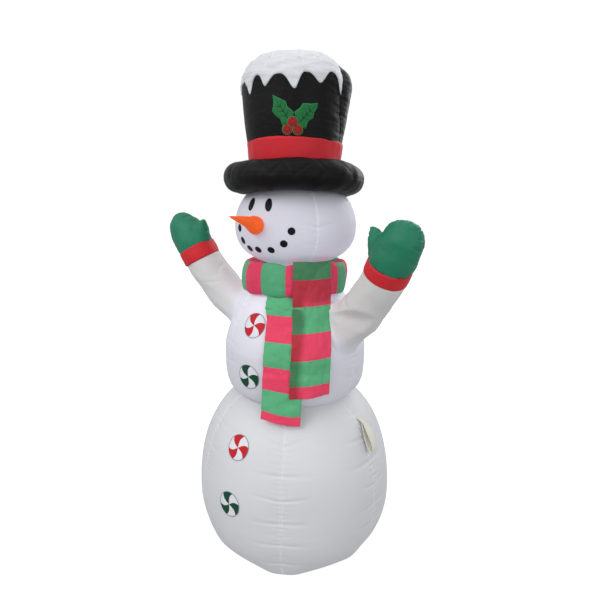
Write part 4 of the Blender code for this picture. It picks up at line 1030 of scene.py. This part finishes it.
def holly():
    """Two leaves with dark veins and three berries, printed patches on the crown's front."""
    place = crown_patch(0.0012)
    middle = (0.0, 0.0, 0.08)
    parts = []
    for outline, root, tip in LEAVES:
        centre = Vector(root).lerp(Vector(tip), 0.45) / 1000.0
        root, tip = Vector(root) / 1000.0, Vector(tip) / 1000.0
        edge = leaf_edge([Vector(p) / 1000.0 for p in outline])
        for inset, index, rise in ((0.0, 1, 0.0), (0.0012, 0, 0.00025)):
            rings = []
            for share in np.append(np.linspace(0.0, 1.0, 9), 1.0):
                drop = -0.0008 if len(rings) == 9 else 0.0
                ring = [centre + (p - centre) * (1.0 - inset / (p - centre).length) * share for p in edge]
                rings.append(place(*np.array(ring).T, rise + drop))
            parts.append(patch_part(rings, middle, index))
        parts += veins(place, root, tip - root, middle)
    made = joined("holly_leaf_print", parts, "holly", "holly_edge", "vein")
    on_head(made, "holly_leaves")

    parts = []
    angle = circle(48)
    for i, (u, z) in enumerate(BERRIES):
        for radius, index, lift in BERRY:
            rings = []
            for k, share in enumerate((0.0, 0.3, 0.6, 0.8, 0.93, 1.0, 1.0)):
                reach = radius * share
                height = lift + 0.0004 * i - (0.0005 if k == 6 else 0.0)
                across, up = reach * np.cos(angle), reach * np.sin(angle)
                rings.append(place(u / 1000.0 + across, z / 1000.0 + up, height))
            parts.append(patch_part(rings, middle, index))
    made = joined("holly_berry_print", parts, "berry", "berry_dark", "vein", "holly_edge")
    on_head(made, "holly_berries")


def leaf_edge(corners):
    """A leaf's outline with its straight stretches divided, so that it follows the crown."""
    edge = []
    for a, b in zip(corners, corners[1:] + corners[:1]):
        for step in range(5):
            edge.append(a.lerp(b, step / 5.0))
    return edge


def veins(place, root, along, middle):
    """Dark midrib and side veins of a leaf as narrow strips."""
    across = Vector((-along.y, along.x))
    lines = [((0.05, 0.0), (0.93, 0.0), 0.0008)]
    for share in (0.22, 0.42, 0.62):
        for side in (-1.0, 1.0):
            lines.append(((share, 0.0), (share + 0.14, side * 0.20), 0.0007))
    parts = []
    for start, end, half in lines:
        a = root + along * start[0] + across * start[1]
        b = root + along * end[0] + across * end[1]
        normal = Vector((-(b - a).y, (b - a).x)).normalized() * half
        rows = []
        for offset in (-1.0, 1.0):
            line = [a.lerp(b, t) + normal * offset * (1.0 - 0.7 * t) for t in np.linspace(0.0, 1.0, 8)]
            rows.append(place(*np.array(line).T, 0.0006))
        parts.append(patch_part(rows, middle, 2, wrap=False))
    return parts


# ---------------------------------------------------------------- scarf
COLLAR_STRIPES = (-54.4, -27.2, 0.0, 27.2, 44.0, 60.8, 88.0, 115.2)
STRIPE_TURN = 27.2
COLLAR_PROFILE = ((0.1130, 0.7000), (0.1220, 0.6850), (0.1300, 0.6815), (0.1345, 0.6900), (0.1362, 0.7080),
                  (0.1362, 0.7280), (0.1340, 0.7480), (0.1285, 0.7590), (0.1200, 0.7618), (0.1090, 0.7560),
                  (0.0980, 0.7480), (0.0900, 0.7390))


def collar_bounds():
    """Azimuths of all the collar's stripe seams, front ones first."""
    rear = [COLLAR_STRIPES[-1] + STRIPE_TURN * i for i in range(1, 7)]
    return list(COLLAR_STRIPES) + rear


def collar():
    """The padded collar: a striped tube of cloth round the neck."""
    bounds = collar_bounds()
    azimuth, colours = [], []
    for i, (a, b) in enumerate(zip(bounds, bounds[1:] + [bounds[0] + 360.0])):
        count = max(8, round((b - a) / 0.9))
        azimuth += list(np.linspace(a, b, count, endpoint=False))
        colours += [i % 2] * count
    curve = catmull([(r, z, 0.0) for r, z in COLLAR_PROFILE], 6)
    radius, z = np.array([(p.x, p.y) for p in curve]).T[:, :, None]
    turned = np.array(azimuth)[None, :]
    # The collar is lower at the sides than under the chin and at the back.
    aside = np.abs(signed(turned - 37.0))
    aside = smooth_step((aside - 35.0) / 45.0) * smooth_step((165.0 - aside) / 40.0)
    z = z - 0.0075 * aside * smooth_step((z - 0.715) / 0.035)
    points = around(radius, turned, z)
    offset = ripple(points * (1.0, 1.0, 0.45), 51, 0.050, 0.0012) + ripple(points, 52, 0.10, 0.0016)
    for seam in bounds:
        distance = np.radians(signed(turned - seam)) * radius
        offset -= 0.0011 * hump(distance, 0.0018) + 0.0012 * fading(distance, 0.010)
        offset -= gathered(distance, z, gather_marks(900 + int(seam), 0.684, 0.764, 0.010, 0.0007, 0.012))
    points = pushed(points, offset, wrap=True)
    made = grid_object("collar_cloth", points, "scarf_green", "scarf_red", wrap=True)
    made.data.polygons.foreach_set("material_index", colours * (len(curve) - 1))
    face_away(made, (0.0, 0.0, 0.72))
    stands_for(made, "scarf_collar", "torso")


def under_tail_radius(z):
    """How far out the under tail hangs: over the chest, then straight down."""
    z = np.asarray(z, float)
    chest = ball_radius(TORSO, np.maximum(z, TORSO[0])) + TAIL_LIFT
    hanging = TAIL_DROP_RADIUS - np.maximum(0.0, z - 0.50) * 0.25
    flare = TAIL_FLARE * np.maximum(0.0, (0.44 - z) / 0.06)
    return np.where(z > 0.66, chest, np.maximum(chest, hanging + flare))


def front_tail_radius(z):
    """The front tail lies over the collar and then over the under tail."""
    z = np.asarray(z, float)
    height = np.clip((z - 0.70) / 0.066, 0.0, 2.0)
    over = OVER_COLLAR_RADIUS - 0.0110 * height ** 3
    below = np.maximum(OVER_COLLAR_RADIUS + (0.70 - z) * 0.13, under_tail_radius(z) + TAIL_LIFT)
    return np.where(z > 0.70, over, below)


def under_azimuth(across, radius, z):
    """Azimuth across the under tail, which drifts a little as it hangs."""
    drift = 3.0 * smooth_step((0.67 - z) / 0.04) * np.clip((z - 0.39) / 0.24, 0.0, 1.0)
    return UNDER_TAIL_AZIMUTH + drift + np.degrees(TAIL_WIDTH * (across - 0.5) / radius)


def front_azimuth(across, radius, z):
    """Azimuth across the front tail, from its straight left edge."""
    return FRONT_TAIL_EDGE - 1.6 * smooth_step((0.62 - z) / 0.17) + np.degrees(TAIL_WIDTH * across / radius)


def tail(label, radius_at, azimuth_at, top, stripes, foot, seed, hinge_z):
    """A hanging scarf tail: striped cloth, seams between its stripes, a hem and soft folds."""
    columns, rows = 48, 190
    across = np.linspace(0.0, 1.0, columns)
    fall = np.linspace(1.0, 0.0, rows)
    z = top + (foot(across)[None, :] - top) * fall[:, None]
    loose = smooth_step((0.68 - z) / 0.14)
    radius = radius_at(z) + 0.0024 + 0.0018 * np.sin(across[None, :] * 6.3 + seed + 5.0 * z) * loose
    azimuth = azimuth_at(across[None, :], radius, z)
    points = around(radius, azimuth, z)
    drop = fall * (top - foot(across).mean())
    seams = np.cumsum(stripes)
    offset = ripple(points, seed, 0.042, 0.0010) + ripple(points, seed + 1, 0.017, 0.00038)
    offset += ripple(points * (1.0, 1.0, 0.30), seed + 2, 0.020, 0.00040)
    for i, seam in enumerate(seams):
        gap = np.broadcast_to((drop - seam)[:, None], z.shape)
        marks = gather_marks(seed * 10 + i, 0.0, TAIL_WIDTH, 0.009, 0.0006, 0.013)
        offset -= 0.0006 * hump(gap, 0.0014)
        offset -= gathered(gap, TAIL_WIDTH * across[None, :], marks)
    side = np.minimum(across, 1.0 - across)[None, :] * TAIL_WIDTH
    offset += 0.0005 * smooth_step(1.0 - np.abs(side - 0.004) / 0.003)
    points = points + grid_normals(points) * offset[..., None]
    made = grid_object(f"tail_{label}_cloth", points, "tail_green", "tail_red")
    index = np.searchsorted(seams, (drop[:-1] + drop[1:]) / 2.0) % 2
    made.data.polygons.foreach_set("material_index", np.repeat(index, columns - 1).astype(int).tolist())
    made.data.update()
    if label == "front":
        # Painted shade: the cloth is darker where it lies over the under tail and over the collar.
        edge = under_azimuth(1.0, under_tail_radius(z), z)
        beside = smooth_step((edge - azimuth + 1.0) / 6.5) * 0.95
        store(made, "painted_overlap_shade", np.maximum(beside, 0.75 * smooth_step((z - 0.664) / 0.014)))
    thicken(made, TAIL_THICKNESS)
    apply_modifiers(made)
    length = float(np.linalg.norm(np.diff(points[:, columns // 2], axis=0), axis=-1).sum())
    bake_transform(made)
    stands_for(made, f"scarf_tail_{label}")


def tails():
    """The two loose ends of the scarf."""
    def under_foot(across):
        return UNDER_TAIL_Z[0] + 0.011 - 0.011 * smooth_step(across * 1.3)

    def front_foot(across):
        return FRONT_TAIL_Z[0] + 0.007 * across

    tail("under", under_tail_radius, under_azimuth, UNDER_TAIL_Z[1] + 0.004,
         (0.038, 0.060, 0.0575, 0.057, 0.0555), under_foot, 61, UNDER_TAIL_Z[1])
    tail("front", front_tail_radius, front_azimuth, FRONT_TAIL_Z[1],
         (0.0405, 0.062, 0.0577, 0.0593, 0.0594), front_foot, 65, FRONT_TAIL_Z[1])


# ---------------------------------------------------------------- arms
def arm_frames(side):
    """Smooth centreline of an arm with its width and depth directions and half sizes."""
    places = len(ARM_PATH)
    if side > 0:
        slim, rise, lean = LEFT_SLIM, LEFT_RISE, LEFT_LEAN
    else:
        slim, rise = [1.0] * places, [0.0] * places
        lean = [RIGHT_LEAN * max(0, i - KNUCKLE) for i in range(places)]
    path = catmull([(x * side, y, z) for x, y, z in ARM_PATH], ARM_STEPS)
    shifts = catmull([(moved, 0.0, up) for moved, up in zip(lean, rise)], ARM_STEPS)
    sizes = catmull([(w * s, d * min(1.0, s + 0.03), 0.0) for w, d, s in zip(ARM_WIDTHS, ARM_DEPTHS, slim)],
                    ARM_STEPS)
    low, high = CUFF_TURN[side]
    frames = []
    for i, point in enumerate(path):
        at = i / ARM_STEPS
        along, width, depth = directions(path, i)
        flatter = low * math.exp(-((at - 4.2) / 0.9) ** 2) + high * math.exp(-((at - 6.2) / 0.9) ** 2)
        width = (width + along * side * math.tan(flatter)).normalized()
        if side > 0:
            # The rounded top of the left mitten is level.
            width = width.lerp(Vector((1.0, 0.0, 0.0)), float(smooth_step((at - 8.0) / 1.5))).normalized()
        frames.append((point + shifts[i], along, width, depth, sizes[i].x, sizes[i].y))
    return frames


def directions(path, i):
    """Directions along a path, across it and forwards, at one of its points."""
    along = (path[min(i + 1, len(path) - 1)] - path[max(i - 1, 0)]).normalized()
    depth = (Vector((0, 1, 0)) - along * along.y).normalized()
    return along, depth.cross(along), depth


def arm_rings(frames, sides):
    """Rings of points round an arm's centreline."""
    angle = circle(sides)
    rows = []
    for point, _, width, depth, half_width, half_depth in frames:
        ring = (np.array(width)[None, :] * (half_width * np.cos(angle))[:, None]
                - np.array(depth)[None, :] * (half_depth * np.sin(angle))[:, None])
        rows.append(np.array(point)[None, :] + ring)
    return np.array(rows)


def cuff_start(side):
    """Where along the frames the cuff starts: the left one is a little narrower."""
    return WRIST * ARM_STEPS + (3 if side > 0 else 0)


def sleeve(side, label, frames):
    """A sleeve from its seam on the torso to the cuff, with creases at the shoulder and elbow."""
    sides = ARM_SIDES
    first = round(SLEEVE_START * ARM_STEPS)
    rows = arm_rings(frames[first:cuff_start(side) + 1], sides)
    back = -np.array(frames[first][1]) * (1.0, 1.0, 0.74)
    back = back / np.linalg.norm(back)
    start = rows[0]
    out = start - start.mean(axis=0)
    out = out / np.linalg.norm(out, axis=-1, keepdims=True)
    over = smooth_step((out[:, 2:] + 0.35) / 1.2)
    ahead = smooth_step((-out[:, 1:2] - 0.15) / 0.6)
    fillet = (ROOT_FILLET[0] + (ROOT_FILLET[1] - ROOT_FILLET[0]) * over) * out + FRONT_FILLET * ahead * out
    bend = torso_meeting(start, back)
    feet = torso_meeting(start + fillet, back)
    # A curve that leaves the torso along its surface and joins the sleeve along its length.
    t = np.linspace(0.0, 1.0, 40, endpoint=False)[:, None, None]
    root = feet * (1.0 - t) ** 2 + bend * 2.0 * t * (1.0 - t) + start * t ** 2
    points = np.concatenate([root, subdivided(rows)])
    place = np.linalg.norm(np.diff(points.mean(axis=1), axis=0), axis=-1)
    place = np.concatenate([[0.0], np.cumsum(place)])[:, None]
    angle = circle(sides, 360.0)[None, :]
    broad, narrow, creases = ARM_SEEDS[side][:3]
    offset = ripple(points, broad, 0.085, 0.0016) + ripple(points, narrow, 0.038, 0.0006)
    draw = random.Random(creases)
    for _ in range(16):
        centre_angle, centre_place = draw.uniform(0.0, 360.0), draw.uniform(0.03, 0.16)
        length, width = draw.uniform(0.018, 0.045), draw.uniform(0.0028, 0.0050)
        slant, depth = draw.uniform(-0.7, 0.7), draw.uniform(0.0006, 0.0017)
        across = np.radians(signed(angle - centre_angle)) * 0.060
        up = place - centre_place - slant * across
        offset -= depth * np.exp(-(up / width) ** 2 - (across / length) ** 2)
    offset = offset * smooth_step(place / 0.035)
    points = pushed(points, offset, wrap=True)
    points[-1] = points[-1] + (points[-1].mean(axis=0) - points[-1]) * 0.04
    if side > 0:
        points = tucked(points)
    made = grid_object(f"sleeve_cloth_{label}", points, "sleeve", wrap=True)
    # Painted light: 1 at the root and fading over about 55 mm, where the material paints the torso's lamp-lit
    # tint.
    store(made, "root", np.repeat(1.0 - smooth_step((place - 0.002) / 0.055), sides))
    face_away(made, points[len(points) // 2].mean(axis=0))
    inner = Vector(feet.mean(axis=0))
    inner + Vector(frames[first][1]) * SLEEVE_BEND
    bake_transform(made)
    stands_for(made, f"sleeve_{label}")


def soft_positive(value, width):
    """The part of a value above zero, with its corner rounded over a width."""
    return np.logaddexp(0.0, value / width) * width


def tucked(points):
    """The left sleeve's points pressed in under the front tail's edge."""
    radius = np.hypot(points[..., 0], points[..., 1])
    azimuth = np.degrees(np.arctan2(points[..., 0], -points[..., 1]))
    z = points[..., 2]
    # The room reaches out to the tail's inner side, and grows away from its edge and near the sleeve's top.
    hanging = TAIL_DROP_RADIUS - 0.25 * soft_positive(z - 0.50, 0.01)
    room = np.maximum(ball_radius(TORSO, np.maximum(z, TORSO[0])) + TAIL_LIFT, hanging) + TAIL_LIFT - 0.0020
    beyond = np.maximum(0.0, azimuth - front_azimuth(1.0, radius, z) - 0.5)
    room = room + 0.25 * (beyond / 30.0) ** 2 + 0.3 * smooth_step((z - 0.640) / 0.10)
    scale = (radius - soft_positive(radius - room, 0.005)) / np.maximum(radius, 0.001)
    return points * np.stack([scale, scale, np.ones(scale.shape)], axis=-1)


def torso_meeting(points, direction):
    """Where lines from points first pass just inside the torso."""
    reach = np.linspace(0.0, 0.19, 381)[:, None]
    meetings = []
    for point in points:
        line = point + direction * reach
        inside = np.hypot(line[:, 0], line[:, 1]) < ball_radius(TORSO, line[:, 2]) - 0.0022
        meetings.append(line[np.argmax(inside)] if inside.any() else line[-1])
    return np.array(meetings)


def subdivided(rows):
    """Rings with one more between each two."""
    fine = np.repeat(rows, 2, axis=0)[:-1]
    fine[1::2] = rows[:-1] + (rows[1:] - rows[:-1]) / 2.0
    return fine


def cuff(side, label, frames):
    """The red cuff, a plain band a little fuller than the sleeve."""
    rows = subdivided(arm_rings(frames[cuff_start(side):KNUCKLE * ARM_STEPS + 1], ARM_SIDES))
    share = np.linspace(0.0, 1.0, len(rows))[:, None]
    edge = np.minimum(share, 1.0 - share)
    offset = 0.0019 - 0.0030 * hump(edge, 0.020) + ripple(rows, ARM_SEEDS[side][3], 0.050, 0.0006)
    made = grid_object(f"cuff_cloth_{label}", pushed(rows, offset, wrap=True), "red", wrap=True)
    face_away(made, rows[len(rows) // 2].mean(axis=0))
    stands_for(made, f"cuff_{label}", f"arm_{label}")


def closed_tube(name, frames, sides, material):
    """A tube round frames, closed at both ends."""
    made = grid_object(name, arm_rings(frames, sides), material, wrap=True)
    fill_ring(made, range(sides))
    fill_ring(made, range(-sides - 1, -1))
    face_away(made, made.data.vertices[0].co.lerp(made.data.vertices[-1].co, 0.5))
    return made


def mitten(side, label, frames):
    """The inflated mitten: palm and thumb as one skin, drawn in along its edge seam."""
    centreline = frames[KNUCKLE * ARM_STEPS - 2:]
    palm = closed_tube(f"mitten_cloth_{label}", centreline, 48, "green")
    places = [Vector((x * side, y, z)) for x, y, z, _, _ in THUMB]
    thumb = closed_tube("thumb", [(place, *directions(places, k), *THUMB[k][3:])
                                  for k, place in enumerate(places)], 32, "green")
    merge = palm.modifiers.new("thumb", "BOOLEAN")
    merge.operation = "UNION"
    merge.object = thumb
    remesh = palm.modifiers.new("even", "REMESH")
    remesh.mode = "VOXEL"
    remesh.voxel_size = MITTEN_VOXEL
    palm.modifiers.new("calm", "SMOOTH").iterations = 6
    apply_modifiers(palm)
    bpy.data.objects.remove(thumb)
    refine = palm.modifiers.new("refine", "SUBSURF")
    refine.levels = refine.render_levels = 1
    apply_modifiers(palm)
    seam_round(palm, centreline, ARM_SEEDS[side][4])
    stands_for(palm, f"mitten_{label}", f"arm_{label}")


def seam_round(made, centreline, seed):
    """Seam groove and gathers round the mitten's edge, and a little unevenness."""
    mesh = made.data
    co, normal = np.zeros((2, len(mesh.vertices) * 3))
    mesh.vertices.foreach_get("co", co)
    mesh.vertices.foreach_get("normal", normal)
    co, normal = co.reshape(-1, 3), normal.reshape(-1, 3)
    centre = np.array(centreline[len(centreline) // 2][0])
    # The seam lies in the plane through the arm's centreline that faces front.
    depth = co[:, 1] - np.interp(co[:, 2], [p[0].z for p in centreline], [p[0].y for p in centreline])
    turn = np.arctan2(co[:, 2] - centre[2], co[:, 0] - centre[0])
    edge = np.sqrt(np.clip(1.0 - np.abs(normal[:, 1]), 0.0, 1.0))
    marks = gather_marks(seed, -0.18, 0.18, 0.0095, 0.0016, 0.017, 3)
    offset = -0.0010 * hump(depth, 0.0016) - gathered(depth, turn * 0.055, marks)
    offset = offset * smooth_step((edge - 0.35) / 0.4)
    offset = offset + ripple(co, 97, 0.050, 0.0009) + ripple(co, 98, 0.022, 0.0003)
    mesh.vertices.foreach_set("co", (co + normal * offset[:, None]).ravel())
    mesh.update()


def arms():
    """Both raised arms."""
    for side, label in SIDES:
        frames = arm_frames(side)
        sleeve(side, label, frames)
        cuff(side, label, frames)
        mitten(side, label, frames)


# ---------------------------------------------------------------- tether loops
LOOP_TOP_Z = 0.368
LOOP_LENGTH = 0.071
LOOP_WIDTH = 0.025
LOOP_WEB = 0.0015
LOOP_TURN = 94.5         # azimuth of the left loop
LOOP_SLANT = 0.020       # its foot hangs this far in front of its top
LOOP_SEWN = 0.0105       # its top is pressed this far into the seam
LOOP_BEND = 0.012        # a height under the webbing's top; no shape depends on it


def tether_loops():
    """Webbing sewn into each side seam: pinched flat at the top, it hangs as an open loop."""
    for side, label in SIDES:
        out = Vector(around(1.0, LOOP_TURN * side, 0.0))
        tangent = WORLD_UP.cross(out).normalized()
        count, columns = 96, 13
        points = []
        for k in range(count):
            angle = math.pi * 2.0 * (k + 0.5) / count
            down = LOOP_LENGTH * (0.5 - 0.5 * math.cos(angle))
            share = down / LOOP_LENGTH
            z = LOOP_TOP_Z - down
            gap = 0.0020 + 0.0075 * math.sin(min(1.0, share * 1.02) * math.pi * 0.55) ** 1.6
            sewn = 1.0 - float(smooth_step(share / 0.12))
            centre = float(ball_radius(LOWER, z)) + 0.0050 + 0.0045 * share - LOOP_SEWN * sewn
            pinch = 0.60 + 0.40 * smooth_step(share / 0.40)
            row = []
            for u in np.linspace(-1.0, 1.0, columns):
                cup = 0.0010 * (1.0 - u * u) * (1.0 - float(smooth_step(share / 0.5)))
                place = out * (centre + gap * math.sin(angle) + cup)
                place += tangent * (LOOP_WIDTH / 2.0 * u * pinch - side * LOOP_SLANT * share)
                row.append((place.x, place.y, z))
            points.append(row)
        shape = grid_object(f"tether_webbing_{label}", np.array(points + points[:1]), "webbing")
        inside = 0.332
        face_away(shape, out * (float(ball_radius(LOWER, inside)) + 0.008) + WORLD_UP * inside)
        thicken(shape, LOOP_WEB, 0.0)
        apply_modifiers(shape)
        top, foot = (0.0, 0.0, LOOP_TOP_Z), (0.0, 0.0, LOOP_TOP_Z - LOOP_BEND)
        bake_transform(shape)
        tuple(top)
        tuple(foot)
        stands_for(shape, f"tether_loop_{label}")


# ---------------------------------------------------------------- carried-over CAD pieces
def dress_cad_nodes():
    """Materials for the CAD pieces that show as they are."""
    looks = {
        "blower_housing": "black_plastic", "blower_grille": "black_plastic",
        "blower_impeller": "grey_plastic", "blower_motor": "steel", "power_inlet": "black_plastic",
        "zip_tape": "zip_tape", "zip_slider": "zip_metal", "zip_pull": "zip_metal", "lamp_torso": "lens",
        "lamp_lead_lower": "cable", "lamp_lead_upper": "cable",
    }
    for node, look in looks.items():
        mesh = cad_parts[node].data
        mesh.materials.clear()
        mesh.materials.append(MATERIALS[look])


# ---------------------------------------------------------------- stage, lights and camera
def lit_white(name, base, rough, shine, strength):
    """A matt grey that shines white by itself, for the stage."""
    made = bpy.data.materials.new(name)
    set_inputs(nodes_of(made)[0], Base_Color=(base, base, base, 1.0), Roughness=rough,
               Specular_IOR_Level=shine, Emission_Color=(1.0, 1.0, 1.0, 1.0), Emission_Strength=strength)
    return made


def stage():
    """Pale floor and a plain bright backdrop that lights nothing."""
    floor = mesh_object("floor", [(-60, -60, 0), (60, -60, 0), (60, 60, 0), (-60, 60, 0)], [(0, 1, 2, 3)])
    floor.data.materials.append(lit_white("pale_floor", 0.55, 0.9, 0.0, 0.76))
    floor.visible_diffuse = floor.visible_glossy = False

    mesh = bpy.data.meshes.new("backdrop")
    backdrop = linked("backdrop", mesh)
    shape = bmesh.new()
    bmesh.ops.create_icosphere(shape, subdivisions=4, radius=58.0)
    shape.to_mesh(mesh)
    shape.free()
    mesh.materials.append(lit_white("backdrop_white", 0.0, 1.0, 0.5, 1.0))
    backdrop.visible_diffuse = backdrop.visible_glossy = False
    backdrop.visible_transmission = backdrop.visible_shadow = False


# Square lights aimed at the middle: (name, place, height aimed at, size, power, share in highlights).
LIGHTS = (("key", (-0.9, -3.2, 2.9), 0.65, 2.2, 56.0, 1.0),
          ("fill_right", (3.4, -1.4, 1.5), 0.6, 2.4, 26.0, 1.0),
          ("fill_rear", (0.4, 3.6, 2.4), 0.6, 2.6, 40.0, 0.3),
          ("top", (0.0, 0.0, 4.0), 0.0, 3.0, 20.0, 1.0))
SKY_STRENGTH = (0.44, 0.62)   # of the world's light, from below and from above


def lights():
    """Soft studio light: a large key from the front, two fills, a top light and a pale sky."""
    for name, place, height, size, power, highlights in LIGHTS:
        data = bpy.data.lights.new(name, "AREA")
        data.size = size
        data.energy = power
        data.specular_factor = highlights
        made = linked(name, data)
        made.location = place
        made.rotation_euler = (Vector((0.0, 0.0, height)) - Vector(place)).to_track_quat("-Z", "Y").to_euler()
    world = bpy.data.worlds.new("studio")
    world.use_nodes = True
    nodes, links = world.node_tree.nodes, world.node_tree.links
    axes = nodes.new("ShaderNodeSeparateXYZ")
    links.new(nodes.new("ShaderNodeTexCoord").outputs["Generated"], axes.inputs["Vector"])
    sky = ranged(nodes.new, links, axes.outputs["Z"], *SKY_STRENGTH, -0.55, 0.35, smooth=True)
    links.new(sky, nodes["Background"].inputs["Strength"])
    nodes["Background"].inputs["Color"].default_value = (0.97, 0.98, 1.0, 1.0)
    bpy.context.scene.world = world
    bpy.context.scene.view_settings.view_transform = "Standard"


LENS, SENSOR = 28.8, 36.0
CAMERA_PLACE = Vector((0.742, -0.984, 0.915))
CAMERA_FORWARD = Vector((-0.5799, 0.7867, -0.2116))
CAMERA_RIGHT = Vector((0.8041, 0.5944, 0.0063))


def camera():
    """Three-quarter view from the snowman's left, a little above the chest."""
    data = bpy.data.cameras.new("camera")
    data.sensor_width = SENSOR
    data.lens = LENS
    data.clip_start = 0.05
    made = linked("camera", data)
    forward = CAMERA_FORWARD.normalized()
    right = (CAMERA_RIGHT - forward * CAMERA_RIGHT.dot(forward)).normalized()
    axes = Matrix((right, right.cross(forward), -forward)).transposed()
    made.matrix_world = Matrix.Translation(CAMERA_PLACE) @ axes.to_4x4()
    bpy.context.scene.camera = made


camera()
lower_ball()
floor_panel()
torso_ball()
head_ball()
peppermints()
face_prints()
carrot()
crown()
snow()
band()
brim()
holly()
collar()
tails()
arms()
tether_loops()
dress_cad_nodes()
stage()
lights()
